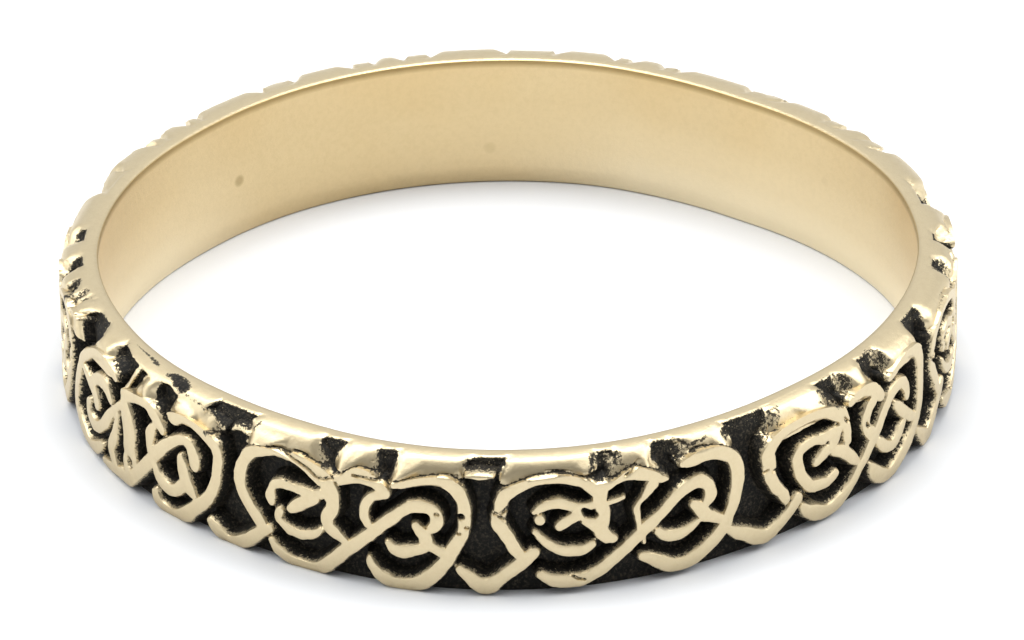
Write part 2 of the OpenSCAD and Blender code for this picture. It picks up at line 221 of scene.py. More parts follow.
KNOT_D = [
    ("hook", [(-12.20, .95, .26), (-11.95, .72, .28), (-11.70, .58, .28), (-11.45, .46, .24),
              (-11.20, .48, .24), (-11.00, .58, .24), (-10.80, .70, .20), (-10.68, .78, .10)]),
    ("left_loop", [(-12.23, 1.00, .28), (-12.22, 1.27, .28), (-12.15, 1.50, .28), (-12.07, 1.70, .27),
                   (-11.97, 1.90, .26), (-11.87, 2.10, .25), (-11.77, 2.28, .25), (-11.64, 2.43, .24),
                   (-11.50, 2.54, .24), (-11.30, 2.68, .22), (-11.10, 2.80, .20), (-10.90, 2.90, .18),
                   (-10.70, 2.95, .15), (-10.45, 2.94, .15), (-10.25, 2.88, .20), (-10.10, 2.81, .22),
                   (-9.98, 2.75, .20)]),
    ("left_branch", [(-11.60, 2.18, .18), (-11.38, 2.07, .24), (-11.20, 1.97, .28), (-11.05, 1.88, .30),
                     (-10.96, 1.75, .30), (-10.92, 1.62, .24)]),
    ("left_curl", [(-11.20, 2.02, .18), (-11.05, 2.15, .24), (-10.90, 2.26, .26), (-10.70, 2.34, .28),
                   (-10.47, 2.33, .32), (-10.32, 2.20, .26), (-10.22, 2.06, .16)]),
    ("smile", [(-9.80, 2.15, .18), (-9.96, 2.02, .16), (-10.10, 1.89, .18), (-10.24, 1.74, .24),
               (-10.38, 1.58, .28), (-10.52, 1.42, .28), (-10.66, 1.28, .26), (-10.82, 1.16, .24),
               (-11.00, 1.08, .26), (-11.18, 1.08, .28), (-11.32, 1.16, .28), (-11.40, 1.30, .24),
               (-11.40, 1.45, .20), (-11.30, 1.55, .14)]),
    ("inner_stem", [(-9.92, 1.90, .10), (-9.98, 1.70, .14), (-10.03, 1.50, .20), (-10.08, 1.30, .26),
                    (-10.18, 1.12, .30), (-10.26, .95, .28), (-10.20, .75, .28), (-10.10, .58, .26)]),
    ("foot", [(-10.62, .42, .18), (-10.30, .44, .24), (-10.00, .48, .26), (-9.75, .50, .28)]),
    ("left_stem", [(-9.62, 2.46, .22), (-9.60, 2.28, .30), (-9.56, 2.10, .42), (-9.50, 1.90, .46),
                   (-9.46, 1.70, .48), (-9.46, 1.50, .44), (-9.47, 1.28, .46), (-9.44, 1.12, .46)]),
    ("stem_side", [(-9.62, 1.05, .14), (-9.62, .86, .20), (-9.56, .70, .26)]),
    ("crest", [(-9.62, 2.50, .26), (-9.40, 2.56, .26), (-9.20, 2.60, .22), (-8.95, 2.64, .20),
               (-8.72, 2.63, .24), (-8.52, 2.50, .30), (-8.38, 2.37, .28), (-8.28, 2.28, .24),
               (-8.25, 2.20, .14)]),
    ("middle_stem", [(-8.52, 2.22, .16), (-8.60, 2.12, .24), (-8.66, 2.00, .28), (-8.69, 1.85, .24),
                     (-8.70, 1.70, .20), (-8.68, 1.55, .20)]),
    ("diagonal", [(-9.85, .52, .28), (-9.60, .50, .30), (-9.40, .62, .30), (-9.20, .80, .28),
                  (-9.02, .98, .30), (-8.86, 1.15, .30), (-8.72, 1.30, .30), (-8.56, 1.50, .30),
                  (-8.42, 1.66, .30), (-8.26, 1.82, .28), (-8.08, 1.98, .26), (-7.90, 2.12, .24),
                  (-7.72, 2.22, .22), (-7.56, 2.27, .22), (-7.42, 2.22, .26), (-7.32, 2.10, .30),
                  (-7.27, 1.95, .31), (-7.27, 1.83, .30), (-7.27, 1.74, .22)]),
    ("right_tick", [(-7.68, 1.84, .16), (-7.66, 1.72, .26), (-7.62, 1.56, .32), (-7.58, 1.40, .34),
                    (-7.52, 1.26, .34), (-7.42, 1.14, .30), (-7.33, 1.06, .20)]),
    ("right_curve", [(-8.52, 1.28, .20), (-8.48, 1.16, .22), (-8.38, 1.04, .26), (-8.24, .95, .28),
                     (-8.08, .91, .28), (-7.92, .94, .28), (-7.78, 1.02, .28), (-7.68, 1.12, .30),
                     (-7.58, 1.22, .30)]),
    ("right_loop", [(-7.98, 2.70, .16), (-7.88, 2.68, .28), (-7.75, 2.73, .24), (-7.60, 2.77, .18),
                    (-7.45, 2.78, .16), (-7.30, 2.75, .18), (-7.15, 2.71, .20), (-6.98, 2.64, .24),
                    (-6.80, 2.54, .27), (-6.67, 2.42, .27), (-6.60, 2.20, .26), (-6.63, 1.95, .26),
                    (-6.66, 1.70, .25), (-6.74, 1.45, .26), (-6.86, 1.22, .28), (-7.00, 1.03, .30),
                    (-7.18, .86, .30), (-7.38, .68, .30), (-7.56, .52, .32), (-7.76, .40, .30),
                    (-7.96, .32, .28), (-8.16, .32, .28), (-8.34, .38, .28), (-8.48, .50, .26),
                    (-8.54, .62, .22), (-8.50, .72, .12)]),
]

# Each petal between two notches of the shoulder: its left edge and its right edge, from below.
PETALS_A = [
    ([(-5.87, 2.76), (-5.73, 2.97), (-5.83, 3.15), (-5.91, 3.27), (-5.97, 3.80)],
     [(-3.83, 2.61), (-3.87, 2.71), (-3.99, 2.89), (-4.13, 3.05), (-4.23, 3.21), (-4.15, 3.80)]),
    ([(-3.74, 2.70), (-3.73, 2.77), (-3.69, 2.97), (-3.66, 3.17), (-3.63, 3.37), (-3.67, 3.80)],
     [(-2.78, 2.72), (-2.82, 2.92), (-2.90, 3.15), (-2.96, 3.36), (-2.80, 3.80)]),
    ([(-2.57, 2.52), (-2.50, 2.65), (-2.42, 2.85), (-2.39, 3.10), (-2.42, 3.40), (-2.50, 3.80)],
     [(-1.03, 2.74), (-.99, 3.07), (-.97, 3.30), (-.83, 3.48), (-.80, 3.80)]),
]
PETALS_B = [
    ([(-.20, 2.62), (-.22, 2.80), (-.08, 3.17), (-.07, 3.45), (-.06, 3.80)],
     [(1.60, 2.77), (1.75, 2.90), (1.80, 3.20), (1.85, 3.50), (1.86, 3.80)]),
    ([(2.02, 2.62), (2.05, 2.80), (2.13, 3.10), (2.25, 3.40), (2.27, 3.80)],
     [(3.13, 2.65), (3.05, 2.79), (2.93, 2.93), (2.97, 3.07), (3.03, 3.31), (3.15, 3.80)]),
    ([(3.69, 2.73), (3.57, 2.76), (3.49, 2.85), (3.39, 3.07), (3.41, 3.31), (3.57, 3.80)],
     [(4.81, 2.80), (4.80, 2.97), (4.71, 3.17), (4.73, 3.27), (4.85, 3.47), (4.87, 3.80)]),
]
PETALS_C = [
    ([(5.70, 2.60), (5.66, 2.80), (5.75, 3.00), (5.85, 3.20), (6.00, 3.45), (6.06, 3.70)],
     [(7.70, 2.78), (7.50, 2.95), (7.45, 3.10), (7.50, 3.25), (7.56, 3.50), (7.60, 3.80)]),
    ([(8.00, 2.72), (7.92, 2.82), (7.90, 3.00), (8.00, 3.25), (8.13, 3.50), (8.24, 3.80)],
     [(9.00, 2.60), (8.86, 2.80), (8.75, 3.00), (8.76, 3.13), (8.88, 3.33), (9.04, 3.57), (9.14, 3.80)]),
    ([(9.40, 2.76), (9.30, 2.82), (9.28, 2.95), (9.38, 3.10), (9.55, 3.35), (9.70, 3.57), (9.86, 3.80)],
     [(10.81, 2.80), (10.84, 3.03), (10.96, 3.27), (11.16, 3.57), (11.30, 3.80)]),
]
PETALS_D = [
    ([(-12.80, 2.80), (-12.84, 3.00), (-12.92, 3.20), (-13.10, 3.80)],
     [(-11.95, 2.62), (-12.02, 2.89), (-12.22, 2.99), (-12.36, 3.17), (-12.38, 3.37), (-12.28, 3.57),
      (-12.10, 3.80)]),
    ([(-11.30, 2.70), (-11.17, 2.90), (-11.19, 3.05), (-11.27, 3.21), (-11.41, 3.37), (-11.59, 3.57),
      (-11.80, 3.80)],
     [(-9.90, 2.62), (-10.14, 2.82), (-10.36, 3.02), (-10.52, 3.17), (-10.60, 3.32), (-10.62, 3.48),
      (-10.75, 3.80)]),
    ([(-9.30, 2.66), (-9.19, 2.87), (-9.11, 3.01), (-9.13, 3.17), (-9.07, 3.39), (-9.04, 3.80)],
     [(-8.45, 2.57), (-8.50, 2.75), (-8.57, 2.95), (-8.64, 3.10), (-8.72, 3.30), (-8.80, 3.44),
      (-8.90, 3.80)]),
    ([(-8.00, 2.66), (-8.03, 2.77), (-7.97, 2.85), (-7.92, 2.99), (-7.95, 3.13), (-7.87, 3.22),
      (-7.80, 3.60), (-7.80, 3.80)],
     [(-6.60, 2.66), (-6.62, 2.80), (-6.66, 2.90), (-6.78, 2.98), (-7.00, 3.08), (-7.17, 3.22),
      (-7.25, 3.60), (-7.28, 3.80)]),
]

# Where the rim reaches further down over a notch than elsewhere: outlines
RIM_D = [(-10.60, 3.80), (-10.52, 3.58), (-10.15, 3.48), (-9.76, 3.39), (-9.45, 3.34), (-9.18, 3.30),
         (-8.95, 3.40), (-8.72, 3.36), (-8.46, 3.36), (-8.15, 3.27), (-7.87, 3.18), (-7.50, 3.16),
         (-7.22, 3.14), (-7.18, 3.40), (-7.15, 3.80)]

# Thin ridges on the shoulder, charted like the strands
RIDGES_D = [
    [(-9.50, 3.28, .05), (-9.42, 3.14, .06), (-9.37, 2.96, .07), (-9.44, 2.78, .09), (-9.54, 2.62, .12)],
    [(-7.30, 3.14, .02), (-7.12, 3.10, .03), (-6.98, 3.05, .02), (-6.80, 2.99, .02), (-6.60, 2.93, .01),
     (-6.42, 2.90, .01)],
    [(-6.24, 2.96, .01), (-6.14, 3.04, .02), (-5.97, 3.02, .03), (-5.72, 2.94, .03)],
]

# Where the shoulder bulges and catches the light, charted like the strands
BULGES_A = [
    [(-5.80, 3.26, .26), (-5.64, 3.02, .44), (-5.36, 3.00, .32), (-5.02, 3.12, .06)],
    [(-3.58, 3.46, .22), (-3.42, 3.25, .44), (-3.44, 2.96, .34), (-3.56, 2.72, .16), (-3.61, 2.56, .06)],
    [(-2.34, 3.42, .20), (-2.16, 3.22, .42), (-2.20, 2.96, .34), (-2.38, 2.72, .16), (-2.50, 2.58, .06)],
]
BULGES_B = [
    [(1.66, 3.34, .16), (1.56, 3.08, .30), (1.64, 2.84, .20)],
    [(3.04, 3.54, .08), (2.88, 3.32, .16), (2.82, 3.06, .18), (2.84, 2.84, .14)],
    [(4.76, 3.54, .12), (4.60, 3.34, .28), (4.56, 3.10, .26), (4.62, 2.90, .16)],
]
BULGES_C = [
    [(6.70, 3.35, .16), (6.92, 3.25, .40), (7.08, 3.15, .34), (7.22, 3.00, .12)],
    [(8.68, 3.45, .14), (8.62, 3.25, .32), (8.48, 3.05, .28), (8.40, 2.93, .12)],
    [(9.72, 3.08, .22), (10.00, 3.14, .42), (10.25, 3.12, .28), (10.38, 3.05, .10)],
]
BULGES_D = [
    [(-8.86, 3.30, .14), (-8.78, 3.12, .32), (-8.68, 2.92, .30), (-8.58, 2.75, .16)],
    [(-7.84, 3.00, .12), (-7.58, 2.98, .26), (-7.30, 2.92, .14)],
    [(-11.00, 3.34, .14), (-10.82, 3.28, .28), (-10.62, 3.14, .16)],
    [(-12.50, 3.08, .10), (-12.54, 3.30, .22), (-12.40, 3.54, .12)],
]

# The whole of each notch with the worn slope at one side of it: outlines
NOTCHES_A = [
    [(-4.34, 3.30), (-4.14, 3.60), (-3.70, 3.60), (-3.62, 2.94), (-3.78, 2.50), (-4.12, 2.86)],
    [(-3.04, 3.38), (-2.76, 3.60), (-2.42, 3.50), (-2.36, 2.94), (-2.60, 2.56), (-2.90, 2.90)],
]
NOTCHES_B = [
    [(1.76, 3.50), (2.24, 3.56), (2.50, 3.36), (2.38, 3.00), (2.02, 2.60), (1.72, 2.94)],
    [(3.14, 3.60), (3.62, 3.64), (4.02, 3.34), (3.84, 3.00), (3.30, 2.40), (3.00, 2.80)],
]
NOTCHES_C = [
    [(7.50, 3.46), (7.70, 3.79), (8.38, 3.79), (8.54, 3.52), (8.38, 3.12), (8.02, 2.80), (7.80, 2.64),
     (7.48, 3.06)],
    [(8.94, 3.40), (9.38, 3.79), (9.80, 3.76), (9.86, 3.42), (9.66, 3.04), (9.28, 2.80), (9.10, 2.64),
     (8.74, 3.00)],
]
NOTCHES_D = [
    [(-8.76, 3.36), (-8.44, 3.36), (-7.88, 3.18), (-7.96, 3.00), (-8.00, 2.62), (-8.50, 2.78), (-8.62, 3.08)],
    [(-12.40, 3.14), (-12.28, 3.54), (-11.68, 3.60), (-11.24, 3.14), (-11.44, 2.76), (-12.00, 2.86)],
    [(-14.02, 3.50), (-13.62, 3.44), (-13.26, 3.12), (-13.08, 2.96), (-13.34, 2.88), (-13.86, 3.10)],
    [(-13.56, 3.62), (-13.04, 3.48), (-12.94, 3.18), (-12.82, 2.96), (-13.06, 2.92), (-13.30, 3.24)],
]

# Dark stains and worn-through edges, charted like the strands: place and width
STAINS_A = [
    [(-5.80, 3.45, .10), (-5.78, 3.20, .10)],
    [(-4.10, 3.30, .16), (-3.95, 3.00, .20), (-3.88, 2.75, .16)],
    [(-2.80, 3.30, .12), (-2.76, 3.00, .14), (-2.66, 2.70, .14)],
    [(-.92, 3.40, .10), (-.98, 3.10, .10)],
    [(-5.05, 2.32, .14), (-4.85, 2.24, .10)],
    [(-3.62, 2.36, .08), (-3.55, 2.10, .06)],
]
STAINS_B = [
    [(1.78, 3.40, .16), (1.72, 3.10, .18), (1.66, 2.88, .16)],
    [(2.10, 3.30, .14), (2.06, 3.00, .14), (2.00, 2.70, .14)],
    [(2.30, 3.00, .10), (2.55, 2.92, .10)],
    [(3.45, 3.30, .06), (3.50, 2.95, .08)],
    [(3.75, 3.15, .10), (4.05, 3.20, .12), (4.35, 3.30, .08)],
    [(4.78, 3.40, .12), (4.72, 3.10, .14)],
]
STAINS_C = [
    [(5.80, 3.06, .16), (5.98, 3.30, .18), (6.12, 3.54, .14)],
    [(5.98, 3.06, .11), (6.16, 3.30, .13), (6.30, 3.52, .11)],
    [(7.48, 3.40, .14), (7.46, 3.15, .16), (7.62, 2.88, .14)],
    [(8.05, 3.40, .16), (7.95, 3.10, .14)],
    [(10.90, 3.10, .12), (11.05, 3.40, .14)],
    [(7.16, 3.20, .06), (7.32, 3.02, .10), (7.50, 2.86, .12)],
]
STAINS_D = [
    [(-10.42, 3.76, .05), (-10.15, 3.76, .09), (-9.85, 3.75, .09)],
    [(-9.75, 3.74, .12), (-9.50, 3.70, .14), (-9.25, 3.64, .06)],
    [(-8.88, 3.58, .10), (-8.66, 3.68, .30), (-8.40, 3.62, .44), (-8.16, 3.52, .40)],
    [(-13.80, 3.32, .20), (-13.50, 3.20, .26), (-13.24, 3.02, .18)],
    [(-13.30, 3.46, .14), (-13.14, 3.28, .18), (-13.00, 3.06, .14)],
    [(-7.90, 3.34, .04), (-7.60, 3.33, .07), (-7.30, 3.27, .06), (-7.08, 3.18, .05)],
    [(-6.80, 2.72, .14), (-6.65, 2.80, .16)],
]

# Fine cracks and crevices that are cut into the relief, charted like the strands
CUTS_A = [
    [(-5.14, 2.93, .02), (-4.93, 2.89, .035), (-4.74, 2.83, .04), (-4.56, 2.75, .04), (-4.41, 2.66, .04),
     (-4.25, 2.57, .04), (-4.13, 2.45, .04), (-4.00, 2.43, .035), (-3.87, 2.49, .035), (-3.78, 2.50, .05)],
    [(-3.27, 2.65, .03), (-3.00, 2.63, .045), (-2.72, 2.62, .05)],
    [(-2.93, 3.00, .03), (-2.80, 2.86, .05), (-2.73, 2.74, .05)],
    [(-1.47, 2.90, .02), (-1.30, 2.90, .035), (-1.12, 2.88, .03)],
    [(-1.12, 1.93, .08), (-1.05, 1.93, .13)],
    [(-.93, 1.68, .04), (-.91, 1.68, .04)],
    [(-1.10, 1.53, .03), (-1.08, 1.53, .03)],
    [(-1.56, 1.96, .05), (-1.54, 1.96, .05)],
    [(-4.66, 2.96, .02), (-4.50, 2.95, .03), (-4.36, 2.92, .02)],
]
CUTS_B = [
    [(-.44, 2.06, .05), (-.33, 2.03, .05), (-.24, 1.96, .04), (-.12, 1.86, .03)],
    [(-.26, 2.00, .03), (-.16, 2.08, .04), (-.08, 2.18, .03)],
    [(.35, 2.86, .03), (.60, 2.89, .045), (.91, 2.92, .03)],
    [(.73, 3.00, .02), (.98, 2.98, .04), (1.23, 2.95, .02)],
    [(2.35, 2.73, .03), (2.52, 2.88, .04), (2.70, 3.05, .03)],
    [(3.80, 3.03, .02), (3.97, 3.06, .04), (4.15, 3.08, .02)],
    [(1.50, 2.02, .08), (1.60, 1.92, .17), (1.72, 1.88, .12)],
    [(1.25, .50, .02), (1.35, .42, .03), (1.50, .38, .02)],
]
CUTS_C = [
    [(5.52, 2.02, .02), (5.60, 2.03, .03), (5.66, 2.05, .02)],
    [(5.80, 1.97, .05), (5.86, 1.99, .05)],
    [(7.78, 2.50, .02), (7.85, 2.42, .04), (7.92, 2.36, .02)],
    [(7.27, 2.10, .05), (7.29, 2.10, .05)],
    [(8.52, 2.06, .03), (8.55, 2.00, .05), (8.60, 1.96, .03)],
]
CUTS_D = [
    [(-9.50, 1.03, .06), (-9.46, .97, .15), (-9.48, .89, .10)],
]

# Places where the patina is rubbed thin to brown and gold grain, charted like the strands
RUBS = [
    [(6.34, 3.62, .26), (6.04, 3.25, .30), (5.72, 2.95, .24), (5.54, 2.74, .14)],
    [(8.24, 3.62, .26), (8.08, 3.26, .26), (7.90, 2.98, .20)],
    [(9.74, 3.60, .26), (9.50, 3.26, .26), (9.26, 3.02, .18)],
    [(2.04, 3.50, .10), (2.12, 3.20, .18), (2.08, 2.95, .20)],
    [(1.20, 3.50, .12), (1.08, 3.24, .16), (1.04, 3.02, .12)],
    [(3.64, 3.60, .20), (3.68, 3.25, .24), (3.74, 2.98, .18)],
    [(-5.94, 3.24, .22), (-5.74, 2.98, .22), (-5.66, 2.80, .14)],
    [(-3.52, 3.48, .16), (-3.42, 3.20, .20), (-3.40, 2.96, .14)],
    [(-2.14, 3.46, .12), (-2.10, 3.20, .14)],
    [(6.60, 0.62, .20), (6.95, 0.86, .22), (7.25, 1.10, .16)],
    [(4.98, 0.66, .22), (5.20, 0.74, .20)],
]

CHARTS = {
    "A": (KNOT_A, PETALS_A, CUTS_A, STAINS_A, NOTCHES_A, BULGES_A, []),
    "B": (KNOT_B, PETALS_B, CUTS_B, STAINS_B, NOTCHES_B, BULGES_B, []),
    "C": (KNOT_C, PETALS_C, CUTS_C, STAINS_C, NOTCHES_C, BULGES_C, []),
    "D": (KNOT_D, PETALS_D, CUTS_D, STAINS_D, NOTCHES_D, BULGES_D, RIDGES_D),
}

# The outer face's profiles, as rows of how far up the profile, radius and height. The first is the
# sunk ground. Between two notches the shoulder is dished, and each petal's end is a sloping lobe.
GROUND = np.array([
    (0.00, GROUND_R + GROUND_FLARE, 0.0), (0.34, GROUND_R, 0.30), (2.60, GROUND_R, 2.56),
    (2.80, 9.18, 2.74), (2.95, 9.15, 2.84), (3.15, 9.11, 2.92), (3.45, 9.09, 2.98), (3.60, 9.09, 2.98)])
DISH = np.array([
    (2.30, 9.53, 2.20), (2.50, 9.49, 2.37), (2.62, 9.461, 2.486), (2.75, 9.425, 2.611),
    (2.87, 9.388, 2.725), (3.00, 9.338, 2.840), (3.10, 9.291, 2.916), (3.18, 9.250, 2.965),
    (3.26, 9.202, 3.008), (3.34, 9.144, 3.026), (3.44, 9.06, 3.041), (3.57, 8.97, 3.05)])
LOBE = np.array([
    (2.30, 9.56, 2.24), (2.50, 9.60, 2.455), (2.62, 9.575, 2.55), (2.75, 9.52, 2.650),
    (2.87, 9.455, 2.745), (3.00, 9.375, 2.835), (3.13, 9.295, 2.915), (3.25, 9.215, 2.985),
    (3.34, 9.148, 3.022), (3.44, 9.065, 3.039), (3.57, 8.97, 3.05)])
SHOULDER = np.vstack([DISH, [(3.62, 8.92, 3.05), (3.72, 8.82, 3.05)]])

# The rim and the bore from the top down: radius, height, painted shade (a shadow line under the top
# edge, a slight darkening down the middle and shade at the foot), and a painted reflection of the floor
INNER = [
    (8.93, BAND_H, 0, 0), (8.86, BAND_H, 0, 0), (8.79, BAND_H - 0.005, 0.1, 0),
    (8.76, BAND_H - 0.025, 0.8, 0), (BORE_R, BAND_H - BORE_EASE, 0.8, 0),
    (BORE_R, BAND_H - 0.20, 0.05, 0), (BORE_R, BAND_H * 0.66, 0.14, 0.1),
    (BORE_R, BAND_H * 0.33, 0.14, 0.4), (BORE_R, 0.42, 0.08, 0.8), (BORE_R, BORE_EASE, 0.14, 1),
    (BORE_R + 0.3 * BORE_EASE, 0.3 * BORE_EASE, 0.2, 1), (BORE_R + BORE_EASE, 0.0, 0.4, 1)]
# Painted reflection of the bright floor on the foot of the bore: angle from the front, strength
FOOT_REFLECTION = [(-180, 0.15), (-160, 0.0), (-142, 0.1), (-122, 0.8), (-90, 1.0), (90, 1.0), (140, 0.8),
             (160, 0.7), (172, 0.3), (180, 0.15)]
# Tarnished spots in the bore: angle from the front, height, radius, strength
BORE_SPOTS = [(-137.5, 1.35, 0.20, 0.75), (-177.6, 0.87, 0.24, 0.30), (126.2, 1.85, 0.22, 0.22)]

# A wall's rise from the ground to the top: distance in from the strand's edge, share of the height
WALL_AT = [-0.10, -0.055, -0.02, 0.01, 0.05]
WALL_UP = [0.0, 0.42, 0.84, 0.975, 1.0]
STRAND_AT = [-0.05, -0.005]     # where a strand stands out of the shoulder
FALL, SPAN = 0.35, 0.20         # how far a petal falls at its ends, and over what length
SLOPE_SPAN = 0.36               # how far inside its outline a notch is fully deep
NOTCH_DEPTH = 0.9               # share of the height that a fully deep notch takes away
RIM_UP = 3.49                   # where the notches end, below the flat rim
SHOULDER_UP = 2.6               # where the shoulder begins
ONTO_SHOULDER = 2.45, 2.62      # between which heights a charted line goes over onto the shoulder
TRY_UP = np.linspace(2.3, 3.7, 281)     # heights tried for a place of the shoulder
SIDES, SIDE_FILL = (46, 68), 0.6        # angles where the dish grows shallow, and by what share
RIM_FULL = 3.44, 3.56           # heights between which a petal's end stops falling
POLISH_UP = 2.78, 0.12          # where the polish of the shoulder begins, and over what length
# At the back the notches are worn nearly full and each petal is a hump
BACK = (104, 116)               # angles from the front between which the back begins
BACK_UP = 2.66, 2.90            # heights between which its notches are filled, and how far
FILLED = 0.86
HUMP_SUNK = 0.75
# Painted shade in the crevices beside the strands of the shoulder, laid over the patina: how far out it
# lies and reaches, how high it goes, how dark it is and the angles from the front where it fades out
CREVICE_OUT, CREVICE_HALF, CREVICE_TOP, CREVICE_SHADE = 0.045, 0.022, 3.2, 0.72
CREVICE_SHADE_ENDS = 34, 44

# How dark the patina is, as distances or shares and the darkness at each
BY_DEPTH = [-0.05, -0.014, 0.008, 0.03, 0.07], [1.0, 0.5, 0.32, 0.16, 0.0]
BY_STAIN = [-0.06, 0, 0.02, 0.07, 0.11], [0, 0.45, 0.55, 0.62, 0.88]
BY_SLOPE = [0.0, 0.04, 0.30, 0.70], [0.0, 0.42, 0.58, 0.74]
BY_RUB = [-0.08, 0.06], [1.0, 0.50]
FACING_UP = 0.012               # how much further in a slope that faces up counts
THIN_UP, THIN = (2.7, 2.9), 0.27        # where the shoulder's patina is thinner, and by what share
# Where the patina is rubbed off: angles of the back and heights, and angles of the sides' tops
BACK_RUBBED, BACK_RUBBED_UP, SIDES_RUBBED = (100, 114), (2.6, 2.8), (84, 92)

# The grid that the relief is worked out on: columns round the face, rows up the profile
CELL = 0.0125
COLS = 4824
CELL_U = ROUND / COLS
NONE, FAR_OFF = -0.3, 2.0       # grid values where there is no stroke, and no petal's end near
WOBBLE = [(3, 0.16, 0.007), (4, 0.07, 0.004)]      # unevenness of the edges: seed, size, amount
GRAIN = 21, 0.15, 0.012         # unevenness of the ground: seed, size, depth

# The mesh: points of each ring, how far an edge line may stray, the longest edge of a line, and the
# steps between the places that are strewn on the shoulder and the ground, with their seeds
RING_POINTS = 1200
STRAY, LONGEST = 0.0028, 0.09
TOP_STEP, TOP_SEED = 0.06, 11
FLOOR_STEP, FLOOR_RISE, FLOOR_SEED = 0.11, 0.10, 12
SHARP = math.radians(38)        # edges sharper than this are shaded sharp
SHOULDER_ROWS = [2.58, 2.64, 2.70, 2.76, 2.82, 2.88, 2.94, 3.00, 3.06, 3.12, 3.18, 3.24, 3.29, 3.34,
                 3.39, 3.44, 3.49, 3.54]


def face_profile():
    """The outer envelope, as rows of how far up the profile, radius and height."""
    foot = [(FACE_R - FOOT_IN * (1 - math.sin(a)), FOOT_RISE * (1 - math.cos(a)))
            for a in np.linspace(0, math.pi / 2, 40, endpoint=False)]
    face = [(FACE_R, z) for z in np.linspace(FOOT_RISE, BAND_H - SHOULDER_DROP, 60, endpoint=False)]
    shoulder = [(RIM_R + (FACE_R - RIM_R) * math.cos(a), BAND_H - SHOULDER_DROP * (1 - math.sin(a)))
                for a in np.linspace(0, math.pi / 2, 80)]
    points = np.array(foot + face + shoulder)
    steps = np.hypot(*np.diff(points, axis=0).T)
    return np.column_stack([np.concatenate([[0], np.cumsum(steps)]), points])


def bend_table():
    """The angles and smoothed inward distances of the bent ring, a degree apart."""
    angles, values = np.array(OUT_OF_ROUND, float).T
    fine = np.arange(-180, 180, 1.0)
    bent = np.interp(fine, np.concatenate([angles - 360, angles, angles + 360]), np.tile(values, 3))
    kernel = np.hanning(17)
    kernel /= kernel.sum()
    soft = np.convolve(np.concatenate([bent[-8:], bent, bent[:8]]), kernel, "valid")
    return np.append(fine, 180.0), np.append(soft, soft[0])


ENVELOPE = face_profile()
TOP_UP = ENVELOPE[-1, 0]
ROWS = int(round(TOP_UP / CELL)) + 1
CELL_V = TOP_UP / (ROWS - 1)
BEND = bend_table()
RING = np.arange(RING_POINTS) * ROUND / RING_POINTS


def smooth_step(low, high, value):
    t = np.clip((value - low) / (high - low), 0, 1)
    return t * t * (3 - 2 * t)


def turn_of(along):
    """The angle from the front of a length along the face."""
    return along / FACE_R


def wrapped(along):
    """A length along the face, brought within half a turn of the front."""
    return (along + ROUND / 2) % ROUND - ROUND / 2


def inward(turn):
    """How far the ring is bent in at an angle from the front."""
    return np.interp((np.degrees(turn) + 180) % 360 - 180, *BEND)


def profile(table, up):
    """The radius and height of a profile at each place up it."""
    return np.interp(up, table[:, 0], table[:, 1]), np.interp(up, table[:, 0], table[:, 2])


def envelope_and_rim(up):
    """The radius and height of the outer envelope, which goes on over the flat rim."""
    radius, height = profile(ENVELOPE, up)
    return radius - np.clip(up - TOP_UP, 0, RIM_W), height


def sunk(turn):
    """How fully the shoulder is dished at an angle from the front: less at the sides and the back."""
    degrees = np.abs((np.degrees(turn) + 180) % 360 - 180)
    return 1 - SIDE_FILL * smooth_step(*SIDES, degrees)


def seen_height(radius, height, turn):
    """How high the camera sees a place of the ring."""
    return height * math.cos(ELEVATION) - radius * np.cos(turn) * math.sin(ELEVATION)


def onto_face(along, up):
    """Moves a charted place along the line of sight, from a round ring onto the bent one."""
    turn = turn_of(along)
    bent = inward(turn)
    return along + bent * np.tan(turn), up - bent * math.tan(ELEVATION) / np.cos(turn)


def onto_shoulder(along, up):
    """Moves a charted place along the line of sight, from a round ring onto the bent, dished shoulder."""
    turn = turn_of(along)
    radius, height = envelope_and_rim(up)
    across = (radius * np.sin(turn))[:, None]
    over = seen_height(radius, height, turn)[:, None]
    face_r, face_z = envelope_and_rim(TRY_UP)
    dished_r, dished_z = profile(SHOULDER, TRY_UP)
    for _ in range(3):
        depth = sunk(turn)[:, None]
        bent = face_r + depth * (dished_r - face_r) - inward(turn)[:, None]
        line_z = face_z + depth * (dished_z - face_z)
        new_turn = np.arcsin(np.clip(across / bent, -0.995, 0.995))
        best = np.abs(seen_height(bent, line_z, new_turn) - over).argmin(axis=1)
        turn = new_turn[np.arange(len(best)), best]
    return turn * FACE_R, TRY_UP[best]


def on_face(rows):
    """A charted line, moved onto the bent ring."""
    rows = np.array(rows, float)
    rows[:, 0], rows[:, 1] = onto_face(rows[:, 0], rows[:, 1])
    return rows


def on_shoulder(rows):
    """The same, and moved onto the dished shoulder where it lies that high."""
    rows = np.array(rows, float)
    low_u, low_v = onto_face(rows[:, 0], rows[:, 1])
    high_u, high_v = onto_shoulder(rows[:, 0], rows[:, 1])
    part = smooth_step(*ONTO_SHOULDER, rows[:, 1])
    rows[:, 0] = low_u + (high_u - low_u) * part
    rows[:, 1] = low_v + (high_v - low_v) * part
    return rows


def moved(rows, along):
    """A line of points moved along the face."""
    rows = np.array(rows, float)
    rows[:, 0] += along
    return rows


